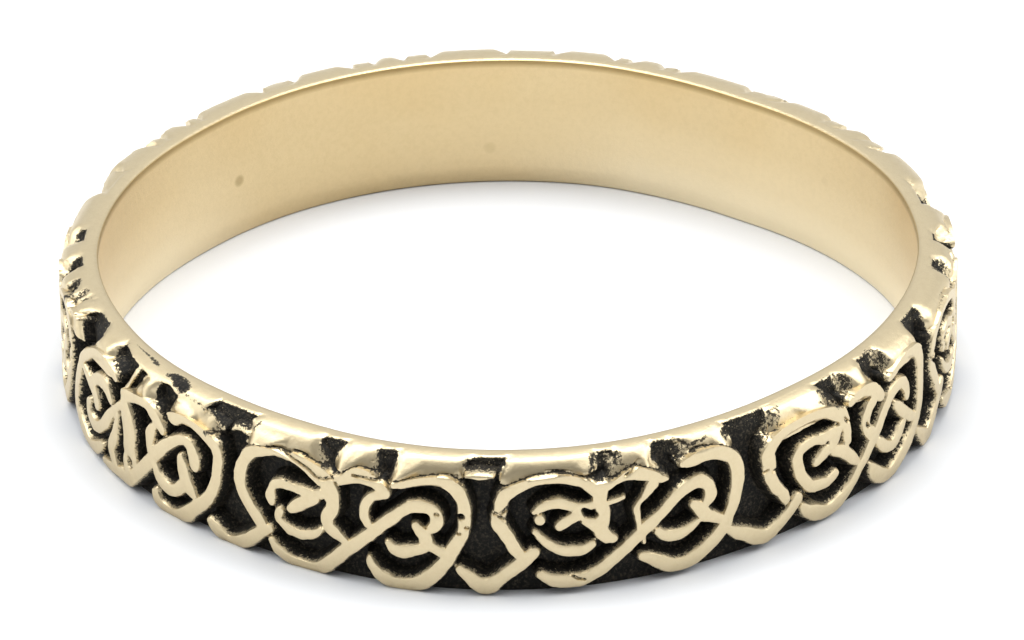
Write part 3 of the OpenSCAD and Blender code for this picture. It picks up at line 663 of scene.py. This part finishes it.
def smooth_line(rows, step=0.045):
    """Points on a smooth curve through rows of numbers, the first two being its place."""
    span = np.concatenate([[0], np.cumsum(np.hypot(*np.diff(rows[:, :2], axis=0).T))])
    count = max(2, int(math.ceil(span[-1] / step)) + 1)
    at = np.linspace(0, span[-1], count)
    if len(rows) < 3:
        return np.stack([np.interp(at, span, column) for column in rows.T], 1)
    slope = np.gradient(rows, span, axis=0)
    i = np.clip(np.searchsorted(span, at, "right") - 1, 0, len(rows) - 2)
    length = (span[i + 1] - span[i])[:, None]
    t = ((at - span[i])[:, None]) / length
    return ((1 + 2 * t) * (1 - t) ** 2 * rows[i] + t * (1 - t) ** 2 * length * slope[i]
            + t * t * (3 - 2 * t) * rows[i + 1] + t * t * (t - 1) * length * slope[i + 1])


def smooth_loop(outline):
    """A closed outline with its corners rounded."""
    for _ in range(2):
        after = outline[1:] + outline[:1]
        outline = [(a[0] + (b[0] - a[0]) * part, a[1] + (b[1] - a[1]) * part)
                   for a, b in zip(outline, after) for part in (0.25, 0.75)]
    return outline


def window(u0, u1, v0, v1):
    """The grid's places that a box of the chart covers: their index, lengths along and heights."""
    cols = np.arange(int(math.floor(u0 / CELL_U)), int(math.ceil(u1 / CELL_U)) + 1)
    rows = np.arange(max(0, int(math.floor(v0 / CELL_V))), min(ROWS - 1, int(math.ceil(v1 / CELL_V))) + 1)
    return np.ix_(rows, cols % COLS), (cols * CELL_U)[None, :], (rows * CELL_V)[:, None]


def to_segment(u, v, start, end):
    """How far along a segment each place lies, from 0 to 1, and its distance from the segment."""
    du, dv = end[0] - start[0], end[1] - start[1]
    part = np.clip(((u - start[0]) * du + (v - start[1]) * dv) / max(du * du + dv * dv, 1e-12), 0, 1)
    return part, np.hypot(u - start[0] - part * du, v - start[1] - part * dv)


def stamp(field, line, reach=0.15):
    """Raises a field to how deep each place lies inside a stroke, negative outside it."""
    for (ua, va, wa), (ub, vb, wb) in zip(line[:-1], line[1:]):
        pad = max(wa, wb) / 2 + reach
        at, u, v = window(min(ua, ub) - pad, max(ua, ub) + pad, min(va, vb) - pad, max(va, vb) + pad)
        part, distance = to_segment(u, v, (ua, va), (ub, vb))
        field[at] = np.maximum(field[at], (wa + (wb - wa) * part) / 2 - distance)


def line_distance(u, v, points):
    """The distance of each place from a broken line."""
    best = np.full(np.broadcast(u, v).shape, FAR_OFF)
    for start, end in zip(points[:-1], points[1:]):
        best = np.minimum(best, to_segment(u, v, start, end)[1])
    return best


def inside_outline(u, v, outline):
    """Whether each place lies inside a closed outline."""
    odd = np.zeros(np.broadcast(u, v).shape, bool)
    for (ua, va), (ub, vb) in zip(outline, outline[1:] + outline[:1]):
        if va != vb:
            odd ^= ((va > v) != (vb > v)) & (u < (ub - ua) * (v - va) / (vb - va) + ua)
    return odd


def add_outline(field, outline):
    """Raises a field to how deep each place lies inside an outline, and gives the places it covers."""
    us, vs = zip(*outline)
    at, u, v = window(min(us) - 0.3, max(us) + 0.3, min(vs) - 0.3, max(vs))
    distance = line_distance(u, v, outline + outline[:1])
    inside = np.where(inside_outline(u, v, outline), distance, -distance)
    field[at] = np.maximum(field[at], inside)
    return at, u, v, inside


def add_petal(grids, left, right):
    """Adds a petal, and notes how far each place is from the petal's two sides."""
    at, u, v, inside = add_outline(grids["petals"], left + right[::-1])
    near = np.minimum(line_distance(u, v, left), line_distance(u, v, right))
    ends = grids["ends"]
    ends[at] = np.where(inside > -0.1, np.minimum(ends[at], near), ends[at])


def add_rim(grids, outline):
    """Adds a place where the rim reaches further down, with no fall at its ends."""
    at, _, _, inside = add_outline(grids["petals"], outline)
    grids["ends"][at] = np.where(inside > -0.08, FAR_OFF, grids["ends"][at])


def smooth_noise(seed, size):
    """Seeded soft noise on the grid, about one feature every size millimetres."""
    rng = np.random.default_rng(seed)
    nu = max(4, int(round(ROUND / size)))
    nv = max(3, int(round(TOP_UP / size)) + 2)
    coarse = rng.standard_normal((nv, nu))
    gu = np.arange(COLS) / COLS * nu
    gv = np.arange(ROWS) / (ROWS - 1) * (nv - 2)
    iu, iv = gu.astype(int), gv.astype(int)
    fu, fv = gu - iu, gv - iv
    fu, fv = (fu * fu * (3 - 2 * fu))[None, :], (fv * fv * (3 - 2 * fv))[:, None]
    a, b = coarse[np.ix_(iv, iu % nu)], coarse[np.ix_(iv, (iu + 1) % nu)]
    c, d = coarse[np.ix_(iv + 1, iu % nu)], coarse[np.ix_(iv + 1, (iu + 1) % nu)]
    return (a * (1 - fu) + b * fu) * (1 - fv) + (c * (1 - fu) + d * fu) * fv


def knot_plan():
    """Each knot round the ring: its charts, and how far they are moved."""
    seen = [(CHARTS[name], 0) for name in "ABCD"]
    return seen + [(CHARTS["AB"[k % 2]], (k - k % 2) * PITCH) for k in range(3, KNOTS - 1)]


def outline_of(rows):
    return [tuple(row) for row in rows]


def stamp_knot(grids, charts, move):
    """Draws one knot's charts into the grids."""
    strands, petals, cuts, stains, notches, bulges, ridges = charts
    for _, rows in strands:
        stamp(grids["strands"], smooth_line(moved(on_face(rows), move)), reach=0.26)
    for sides in petals:
        add_petal(grids, *[outline_of(moved(smooth_line(on_shoulder(side)), move)) for side in sides])
    for field, strokes in (("cuts", cuts), ("stains", stains), ("bulges", bulges), ("petals", ridges)):
        for rows in strokes:
            stamp(grids[field], smooth_line(moved(on_shoulder(rows), move)))
    for rows in notches:
        add_outline(grids["notches"], smooth_loop(outline_of(moved(on_shoulder(rows), move))))


def relief_grids():
    """The grids that the mesh is made from: how deep each place lies inside the charts' strokes."""
    names = ("strands", "petals", "cuts", "stains", "rubs", "notches", "bulges")
    grids = {name: np.full((ROWS, COLS), NONE) for name in names}
    grids["ends"] = np.full((ROWS, COLS), FAR_OFF)
    for charts, move in knot_plan():
        stamp_knot(grids, charts, move)
    for rows in RUBS:
        stamp(grids["rubs"], smooth_line(on_shoulder(rows)))
    add_rim(grids, outline_of(on_shoulder(RIM_D)))
    up = (np.arange(ROWS) * CELL_V)[:, None]
    wobble = sum(amount * smooth_noise(seed, size) for seed, size, amount in WOBBLE)
    thicker = 0.010 + 0.035 * np.clip((0.35 - up) / 0.2, 0, 1)
    raised = np.maximum(grids["strands"] + thicker, grids["petals"]) + wobble
    raised = np.maximum(raised, up - RIM_UP + 0.5 * wobble)
    raised = np.minimum(raised, -grids["cuts"] - 0.02)
    grids["raised"] = np.minimum(raised, 8 * up - 0.12)
    grids["facing_up"] = np.clip(-np.gradient(raised, CELL_V, axis=0), 0, 1)
    return grids


def cell_links(f):
    """Pairs of numbered grid edges that a contour joins inside the cells."""
    right = np.roll(f, -1, axis=1)
    flat_cross = (f > 0) != (right > 0)
    up_cross = (f[:-1] > 0) != (f[1:] > 0)
    flat_id = np.arange(ROWS)[:, None] * COLS + np.arange(COLS)[None, :]
    up_id = flat_id[:-1] + ROWS * COLS
    ids = [flat_id[:-1], np.roll(up_id, -1, axis=1), flat_id[1:], up_id]
    flags = [flat_cross[:-1], np.roll(up_cross, -1, axis=1), flat_cross[1:], up_cross]
    count = sum(flag.astype(int) for flag in flags)
    links = []
    for i in range(4):
        for j in range(i + 1, 4):
            pick = (count == 2) & flags[i] & flags[j]
            links.append(np.stack([ids[i][pick], ids[j][pick]], 1))
    saddle = count == 4
    centre = (f[:-1] + right[:-1] + f[1:] + right[1:])[saddle] > 0
    same = centre == (f[:-1] > 0)[saddle]
    south, east, north, west = [one[saddle] for one in ids]
    links.append(np.stack([south, np.where(same, east, west)], 1))
    links.append(np.stack([north, np.where(same, west, east)], 1))
    return np.concatenate(links)


def crossing_places(f, line):
    """The places of grid edges' crossings, with columns unwrapped along the line."""
    flat = line < ROWS * COLS
    code = np.where(flat, line, line - ROWS * COLS)
    row, col = code // COLS, code % COLS
    a = f[row, col]
    b = f[np.where(flat, row, row + 1), np.where(flat, (col + 1) % COLS, col)]
    t = a / (a - b)
    x = np.where(flat, col + t, col).astype(float)
    y = np.where(flat, row, row + t).astype(float)
    x[1:] -= COLS * np.cumsum(np.round(np.diff(x) / COLS))
    return np.stack([x * CELL_U, y * CELL_V], 1)


def contour_lines(field, level):
    """Closed lines round the grid where the field crosses a level, as places of the chart."""
    f = field - level
    f[f == 0] = 1e-9
    near = {}
    for a, b in cell_links(f).tolist():
        near.setdefault(a, []).append(b)
        near.setdefault(b, []).append(a)
    seen = set()
    lines = []
    for start in near:
        if start in seen:
            continue
        line = [start]
        seen.add(start)
        here, before = near[start][0], start
        while here != start and here not in seen:
            line.append(here)
            seen.add(here)
            ways = near[here]
            before, here = here, ways[0] if ways[0] != before else ways[-1]
        lines.append(np.array(line))
    return [crossing_places(f, line) for line in lines if len(line) > 12]


def thin_out(points):
    """A closed line with only the points that its shape needs."""
    count = len(points)
    turns = round((points[-1, 0] - points[0, 0]) / ROUND)
    closed = np.vstack([points, points[:1] + [[ROUND * turns, 0]]])
    middle = count // 2
    keep = np.zeros(count + 1, bool)
    keep[[0, middle, count]] = True
    stack = [(0, middle), (middle, count)]
    while stack:
        a, b = stack.pop()
        if b - a < 2:
            continue
        d = closed[b] - closed[a]
        length = math.hypot(*d)
        inner = closed[a + 1:b] - closed[a]
        if length < 1e-9:
            off = np.hypot(inner[:, 0], inner[:, 1])
        else:
            off = np.abs(inner[:, 0] * d[1] - inner[:, 1] * d[0]) / length
        worst = int(np.argmax(off))
        if off[worst] > STRAY:
            cut = a + 1 + worst
        elif length > LONGEST:
            cut = (a + b) // 2
        else:
            continue
        keep[cut] = True
        stack += [(a, cut), (cut, b)]
    return closed[:-1][keep[:-1]]


def sample(field, along, up):
    """A field's value between the grid's places."""
    x = (np.asarray(along) / CELL_U) % COLS
    y = np.clip(np.asarray(up) / CELL_V, 0, ROWS - 1.000001)
    i, j = x.astype(int) % COLS, y.astype(int)
    fx, fy = x - np.floor(x), y - j
    i2, j2 = (i + 1) % COLS, np.minimum(j + 1, ROWS - 1)
    return ((field[j, i] * (1 - fx) + field[j, i2] * fx) * (1 - fy)
            + (field[j2, i] * (1 - fx) + field[j2, i2] * fx) * fy)


def spread(step, ups, seed):
    """Staggered places round the ring at the given heights, a little shaken."""
    rng = np.random.default_rng(seed)
    count = int(ROUND / step)
    places = []
    for n, up in enumerate(ups):
        along = (np.arange(count) + 0.5 * (n % 2) + rng.uniform(-0.2, 0.2, count)) * ROUND / count
        places.append(np.stack([along, np.full(count, up)], 1))
    return np.concatenate(places)


def add_line(places, edges, line):
    """Adds a closed line to the places and edges of the triangulation."""
    first = sum(len(some) for some in places)
    places.append(line)
    edges += [(first + i, first + (i + 1) % len(line)) for i in range(len(line))]


def skin_places(grids):
    """The chart's places that the outer skin joins, and the edges that it keeps."""
    places, edges = [], []
    for up in (0.0, TOP_UP):
        add_line(places, edges, np.stack([RING, np.full(RING_POINTS, up)], 1))
    raised = grids["raised"]
    ridge = np.minimum(grids["strands"], grids["petals"] - 0.06)
    for field, level in [(raised, at) for at in WALL_AT] + [(ridge, at) for at in STRAND_AT]:
        for line in contour_lines(field, level):
            line = thin_out(line)
            if len(line) >= 4:
                add_line(places, edges, line)
    tops = spread(TOP_STEP, SHOULDER_ROWS, TOP_SEED)
    places.append(tops[sample(raised, *tops.T) > 0.03])
    floor = spread(FLOOR_STEP, np.arange(0.06, RIM_UP, FLOOR_RISE), FLOOR_SEED)
    places.append(floor[sample(raised, *floor.T) < -0.12])
    return np.concatenate(places), edges


def outer_skin(grids):
    """The outer face: its places, its triangles, and which place each point of its end rings became."""
    places, edges = skin_places(grids)
    rho = np.exp(places[:, 1] / FACE_R)
    turn = turn_of(places[:, 0])
    flat = np.stack([rho * np.cos(turn), rho * np.sin(turn)], 1)
    verts, _, faces, origins, _, _ = delaunay_2d_cdt([Vector(p) for p in flat], edges, [], 0, 1e-7)
    out = np.array([(v.x, v.y) for v in verts])
    along = np.arctan2(out[:, 1], out[:, 0]) * FACE_R
    up = np.clip(np.log(np.hypot(out[:, 0], out[:, 1])) * FACE_R, 0, TOP_UP)
    ring_of = {s: n for n, sources in enumerate(origins) for s in sources if s < 2 * RING_POINTS}
    foot = {ring_of[s] for s in range(RING_POINTS)}
    return along, up, [f for f in faces if not foot.issuperset(f)], ring_of


def skin_profile(at, along, up):
    """The radius and height of each place of the outer face, the painted shade of its crevices, and its worn
    slopes.
    """
    strand = smooth_step(*STRAND_AT, at["strands"])
    petal = smooth_step(-0.10, 0.0, at["petals"])
    turn = turn_of(along)
    degrees = np.abs(np.degrees(turn))
    back = smooth_step(*BACK, degrees)
    hump = smooth_step(0.0, 0.32, at["petals"])
    dished = sunk(turn) * (1 - back) + HUMP_SUNK * (1 - hump) * back
    level = 1 - (1 - np.maximum(strand, 1 - petal)) * dished
    bulge = smooth_step(-0.12, 0.08, at["bulges"])
    fall = 1 - FALL * (1 - np.clip(at["ends"] / SPAN, 0, 1)) ** 2
    fall = fall + (1 - fall) * np.maximum(strand, smooth_step(*RIM_FULL, up))
    filled = back * smooth_step(*BACK_UP, up)
    wall = np.maximum(np.interp(at["raised"], WALL_AT, WALL_UP), FILLED * filled)
    worn = smooth_step(0, SLOPE_SPAN, at["notches"]) * (1 - strand) * (1 - filled)
    parts = []
    profiles = [profile(table, up) for table in (ENVELOPE, DISH, LOBE, GROUND)]
    for face, bowl, slope, floor in zip(*profiles):
        hollow = bowl + (slope - bowl) * bulge
        top = hollow + (face - hollow) * level
        parts.append(floor + (top - floor) * wall * fall * (1 - NOTCH_DEPTH * worn))
    # Painted shade: a dark line in the crease beside each strand of the shoulder, fading out away from the
    # front
    beside = np.abs(at["strands"] + CREVICE_OUT) < CREVICE_HALF
    crevice_shade = petal * beside * (up > SHOULDER_UP) * (up < CREVICE_TOP)
    return *parts, crevice_shade * (1 - smooth_step(*CREVICE_SHADE_ENDS, degrees)), worn


def patina_of(at, along, up, crevice_shade, worn):
    """How dark each place is, from 0 for bare gold to 1 for full patina, with the painted shade of the
    crevices.
    """
    dark = np.interp(at["raised"] + FACING_UP * at["facing_up"], *BY_DEPTH)
    dark = dark * (1 - THIN * smooth_step(*THIN_UP, up))
    stain = np.interp(at["stains"], *BY_STAIN)
    # The crevices' painted shade is darkened in like the patina
    darkest = np.max([dark, stain, np.interp(worn, *BY_SLOPE), CREVICE_SHADE * crevice_shade], axis=0)
    thin = np.interp(at["rubs"], *BY_RUB)
    turn = np.abs(np.degrees(turn_of(along)))
    rubbed = smooth_step(*BACK_RUBBED, turn) * smooth_step(*BACK_RUBBED_UP, up)
    on_top = (at["raised"] > 0.0) * (up > SHOULDER_UP)
    rubbed = np.maximum(rubbed, smooth_step(*SIDES_RUBBED, turn) * on_top)
    return np.clip(np.minimum(darkest, thin) - rubbed, 0, 1)


def to_space(along, radius, height):
    """Places of the bent ring in metres, from the length along, radius and height."""
    turn = turn_of(along)
    radius = radius - inward(turn)
    return np.stack([radius * np.sin(turn), -radius * np.cos(turn), height], 1) * MM


def ring_strip(above, below):
    """Quads between two rings of points."""
    count = len(above)
    return [(above[i], above[(i + 1) % count], below[(i + 1) % count], below[i]) for i in range(count)]


def ring_mesh():
    """The whole ring as one closed mesh: its points, faces and the finish at each point."""
    grids = relief_grids()
    along, up, faces, ring_of = outer_skin(grids)
    along = wrapped(along)
    at = {name: sample(grid, along, up) for name, grid in grids.items()}
    radius, height, crevice_shade, worn = skin_profile(at, along, up)
    seed, size, deep = GRAIN
    rough = deep * sample(smooth_noise(seed, size), along, up)
    rough = rough * (1 - smooth_step(-0.1, -0.05, at["raised"]))
    radius = radius + rough * np.clip(up / 0.2, 0, 1)
    points = [to_space(along, radius, height)]
    polish_from, polish_over = POLISH_UP
    finish = {"patina": [patina_of(at, along, up, crevice_shade, worn)],
              "polish": [np.clip((up - polish_from) / polish_over, 0, 1)],
              "edge": [np.zeros(len(along))], "pale": [np.zeros(len(along))]}
    faces = [tuple(reversed(f)) for f in faces]
    paler = np.interp(np.degrees(turn_of(wrapped(RING))), *np.array(FOOT_REFLECTION).T)
    total = len(along)
    before = [ring_of[RING_POINTS + i] for i in range(RING_POINTS)]
    # shade is each ring's painted shade, light the strength of its painted reflection of the floor
    for radius, height, shade, light in INNER:
        points.append(to_space(RING, radius, np.full(RING_POINTS, height)))
        finish["patina"].append(np.zeros(RING_POINTS))
        finish["polish"].append(np.full(RING_POINTS, 1.0 if radius > 8.78 else -1.0))
        finish["edge"].append(np.full(RING_POINTS, float(shade)))
        finish["pale"].append(light * paler)
        here = list(range(total, total + RING_POINTS))
        faces += ring_strip(before, here)
        total, before = total + RING_POINTS, here
    faces += ring_strip(before, [ring_of[i] for i in range(RING_POINTS)])
    return np.concatenate(points), faces, {name: np.concatenate(rows) for name, rows in finish.items()}


def build_ring():
    points, faces, finish = ring_mesh()
    mesh = bpy.data.meshes.new("knot_ring")
    mesh.from_pydata(points.tolist(), [], faces)
    mesh.polygons.foreach_set("use_smooth", [True] * len(mesh.polygons))
    mesh.set_sharp_from_angle(angle=SHARP)
    for name, values in finish.items():
        layer = mesh.attributes.new(name, "FLOAT", "POINT")
        layer.data.foreach_set("value", values.astype(np.float32))
    mesh.materials.append(gold_material())
    ring = bpy.data.objects.new("knot_ring", mesh)
    bpy.context.collection.objects.link(ring)
    return ring


def node(tree, kind, **values):
    """A shader node with its settings, which start with _, and the values of its sockets."""
    made = tree.nodes.new(kind)
    for key, value in values.items():
        if key.startswith("_"):
            setattr(made, key[1:], value)
        else:
            made.inputs[key].default_value = value
    return made


def feed(tree, socket, value):
    """Sets a socket to a value, or links it where the value is another node's socket."""
    if isinstance(value, bpy.types.NodeSocket):
        tree.links.new(value, socket)
    else:
        socket.default_value = value


def calculate(tree, operation, *values, kind="ShaderNodeMath"):
    """The result of a Math or Vector Math node."""
    made = node(tree, kind, _operation=operation)
    for socket, value in zip(made.inputs, values):
        feed(tree, socket, value)
    return made.outputs["Value"]


def map_range(tree, source, low, high, to_low=0.0, to_high=1.0, way="SMOOTHSTEP"):
    """The source's value taken from one range to another."""
    made = node(tree, "ShaderNodeMapRange", _interpolation_type=way)
    for name, value in zip(("Value", "From Min", "From Max", "To Min", "To Max"),
                           (source, low, high, to_low, to_high)):
        feed(tree, made.inputs[name], value)
    return made.outputs[0]


MIX_SOCKETS = {"RGBA": (6, 7, 2), "FLOAT": (2, 3, 0)}


def mix(tree, part, first, second, kind="RGBA"):
    """A colour or number between two, by a part from 0 to 1."""
    made = node(tree, "ShaderNodeMix", _data_type=kind)
    one, two, result = MIX_SOCKETS[kind]
    for place, value in ((0, part), (one, first), (two, second)):
        feed(tree, made.inputs[place], value)
    return made.outputs[result]


def noise(tree, place, **values):
    made = node(tree, "ShaderNodeTexNoise", **values)
    tree.links.new(place, made.inputs["Vector"])
    return made.outputs["Fac"]


def finish_at(tree, name):
    """The mesh's finish at each point: patina with the painted crevice shade, polish, the bore's painted
    shade, and its painted floor reflection.
    """
    return node(tree, "ShaderNodeAttribute", _attribute_name=name).outputs["Fac"]


GOLD_OUTSIDE = (0.67, 0.56, 0.36, 1)
GOLD_IN_BORE = (0.71, 0.56, 0.32, 1)
GOLD_CLOUDS = (0.66, 0.47, 0.215, 1)
GOLD_MOTTLE = (0.50, 0.38, 0.20, 1)
# Painted shade in the bore, also used for its real tarnished spots
GOLD_SHADE_AND_TARNISH = (0.34, 0.24, 0.10, 1)
# Painted reflection of the bright floor on the bore's foot
GOLD_FLOOR_REFLECTION = (0.92, 0.82, 0.60, 1)
# The patina's colours, also used for the painted shade in the crevices
PATINA_AND_SHADE_BLACK = (0.009, 0.0085, 0.007, 1)
PATINA_AND_SHADE_BROWN = (0.07, 0.058, 0.040, 1)


def bare_gold(tree, place, inside):
    """The colour of the gold without its patina: clouded and tarnished in the bore, with painted shade and a
    painted floor reflection there.
    """
    cloudy = map_range(tree, noise(tree, place, Scale=0.22, Detail=2), 0.42, 0.68, 0, 0.35)
    gold = mix(tree, inside, GOLD_OUTSIDE, GOLD_IN_BORE)
    gold = mix(tree, calculate(tree, "MULTIPLY", cloudy, inside), gold, GOLD_CLOUDS)
    mottle = noise(tree, place, Scale=7, Detail=6, Roughness=0.75)
    gold = mix(tree, map_range(tree, mottle, 0.40, 0.66, 0, 0.16), gold, GOLD_MOTTLE)
    # Painted shade: a shadow line under the bore's top edge, a slight darkening down the middle and shade at
    # its foot; the real tarnished spots are added to it
    shade_and_spots = finish_at(tree, "edge")
    for degrees, up, size, strength in BORE_SPOTS:
        along = np.array([math.radians(degrees) * FACE_R])
        centre = to_space(along, BORE_R, np.array([up]))[0] / MM
        away = calculate(tree, "DISTANCE", place, centre.tolist(), kind="ShaderNodeVectorMath")
        spot = map_range(tree, away, 0.3 * size, size, strength, 0)
        shade_and_spots = calculate(tree, "MAXIMUM", shade_and_spots, spot)
    gold = mix(tree, shade_and_spots, gold, GOLD_SHADE_AND_TARNISH)
    # Painted reflection of the floor, stronger towards the bore's foot and at its sides and front
    return mix(tree, finish_at(tree, "pale"), gold, GOLD_FLOOR_REFLECTION)


def gold_material():
    """Pale gold, satin on the strands, with black patina in the recesses and painted shade in the crevices.
    """
    mat = bpy.data.materials.new("pale_gold_and_patina")
    mat.use_nodes = True
    tree = mat.node_tree
    shader = tree.nodes["Principled BSDF"]
    scaled = node(tree, "ShaderNodeVectorMath", _operation="SCALE", Scale=1 / MM)
    tree.links.new(node(tree, "ShaderNodeTexCoord").outputs["Object"], scaled.inputs[0])
    place = scaled.outputs[0]
    speck = noise(tree, place, Scale=15, Detail=5, Roughness=0.72)
    speckled = calculate(tree, "ADD", finish_at(tree, "patina"),
                         calculate(tree, "MULTIPLY_ADD", speck, 1.5, -0.75))
    mask = map_range(tree, speckled, 0.40, 0.60)
    polish = finish_at(tree, "polish")
    inside = map_range(tree, polish, 0, -0.6, way="LINEAR")
    dark = mix(tree, map_range(tree, speck, 0.46, 0.70), PATINA_AND_SHADE_BLACK, PATINA_AND_SHADE_BROWN)
    bare = map_range(tree, polish, 0, 1, 0.38, 0.34, way="LINEAR")
    grain = noise(tree, place, Scale=9, Detail=6, Roughness=0.7)
    bump = node(tree, "ShaderNodeBump", Strength=0.35, Distance=0.00003)
    tree.links.new(grain, bump.inputs["Height"])
    tree.links.new(bump.outputs[0], shader.inputs["Normal"])
    tree.links.new(mix(tree, mask, bare_gold(tree, place, inside), dark), shader.inputs["Base Color"])
    tree.links.new(map_range(tree, mask, 0, 1, 1, 0, way="LINEAR"), shader.inputs["Metallic"])
    tree.links.new(mix(tree, mask, bare, 0.55, kind="FLOAT"), shader.inputs["Roughness"])
    shader.inputs["Specular IOR Level"].default_value = 0.12
    return mat


def build_floor():
    """A plain white table."""
    half = 0.6
    corners = [(-half, -half, 0), (half, -half, 0), (half, half, 0), (-half, half, 0)]
    mesh = bpy.data.meshes.new("table")
    mesh.from_pydata(corners, [], [(0, 1, 2, 3)])
    mat = bpy.data.materials.new("white_table")
    mat.use_nodes = True
    shader = mat.node_tree.nodes["Principled BSDF"]
    shader.inputs["Base Color"].default_value = (0.705, 0.715, 0.73, 1)
    shader.inputs["Roughness"].default_value = 0.8
    mesh.materials.append(mat)
    floor = bpy.data.objects.new("table", mesh)
    bpy.context.collection.objects.link(floor)


# Soft boxes: name, place in metres, size in metres, power in watts
LIGHTS = [
    ("behind", (0, 0.10, 0.37), (0.22, 0.20), 0.78),
    ("left", (-0.32, 0.08, 0.225), (0.12, 0.12), 0.14),
    ("right", (0.32, 0.08, 0.225), (0.12, 0.12), 0.2),
    ("key", (-0.22, -0.01, 0.34), (0.16, 0.16), 0.24),
    ("fill", (0.26, 0.0, 0.3), (0.16, 0.16), 0.20)]
AIM = Vector((0, 0, 0.0015))    # where they point, the middle of the ring


def build_lights():
    for name, place, size, power in LIGHTS:
        data = bpy.data.lights.new(name, "AREA")
        data.shape = "RECTANGLE"
        data.size, data.size_y = size
        data.energy = power
        light = bpy.data.objects.new(name, data)
        light.location = place
        light.rotation_euler = (AIM - Vector(place)).to_track_quat("-Z", "Y").to_euler()
        bpy.context.collection.objects.link(light)


def build_world():
    """A white studio: dim in front, bright at the sides, behind and overhead."""
    world = bpy.data.worlds.new("studio")
    bpy.context.scene.world = world
    world.use_nodes = True
    tree = world.node_tree
    direction = node(tree, "ShaderNodeTexCoord").outputs["Generated"]
    parts = node(tree, "ShaderNodeSeparateXYZ")
    tree.links.new(direction, parts.inputs[0])
    behind = map_range(tree, parts.outputs["Y"], 0.05, 0.45, 2.0, 0.86)
    beside = map_range(tree, parts.outputs["Y"], -0.48, -0.20)
    overhead = calculate(tree, "DOT_PRODUCT", direction, (0, 0.35, 0.94), kind="ShaderNodeVectorMath")
    above = map_range(tree, overhead, 0.43, 0.70, 0, 0.76)
    dim = calculate(tree, "MULTIPLY_ADD", calculate(tree, "MAXIMUM", beside, above), 0.84, 0.16)
    studio = tree.nodes["Background"]
    tree.links.new(calculate(tree, "MULTIPLY", behind, dim), studio.inputs["Strength"])
    studio.inputs["Color"].default_value = (0.97, 0.985, 1.0, 1)


def build_camera():
    ahead = Vector((0, math.cos(ELEVATION), -math.sin(ELEVATION)))
    right = Vector((1, 0, 0))
    up = right.cross(ahead)
    side = right * math.cos(ROLL) + up * math.sin(ROLL)
    over = up * math.cos(ROLL) - right * math.sin(ROLL)
    place = (-ahead * FAR + side * SHIFT_X + over * SHIFT_UP + Vector((0, 0, BAND_H))) * MM
    data = bpy.data.cameras.new("camera")
    data.sensor_width = SENSOR
    data.lens = LENS_PX / PHOTO_W * SENSOR
    data.clip_start = 0.01
    camera = bpy.data.objects.new("camera", data)
    camera.matrix_world = Matrix.Translation(place) @ Matrix((side, over, -ahead)).transposed().to_4x4()
    bpy.context.collection.objects.link(camera)
    bpy.context.scene.camera = camera


bpy.context.scene.view_settings.view_transform = "Standard"
build_camera()
build_world()
build_lights()
build_floor()
knot_ring = build_ring()
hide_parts("knot_band")
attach(knot_ring, "root")
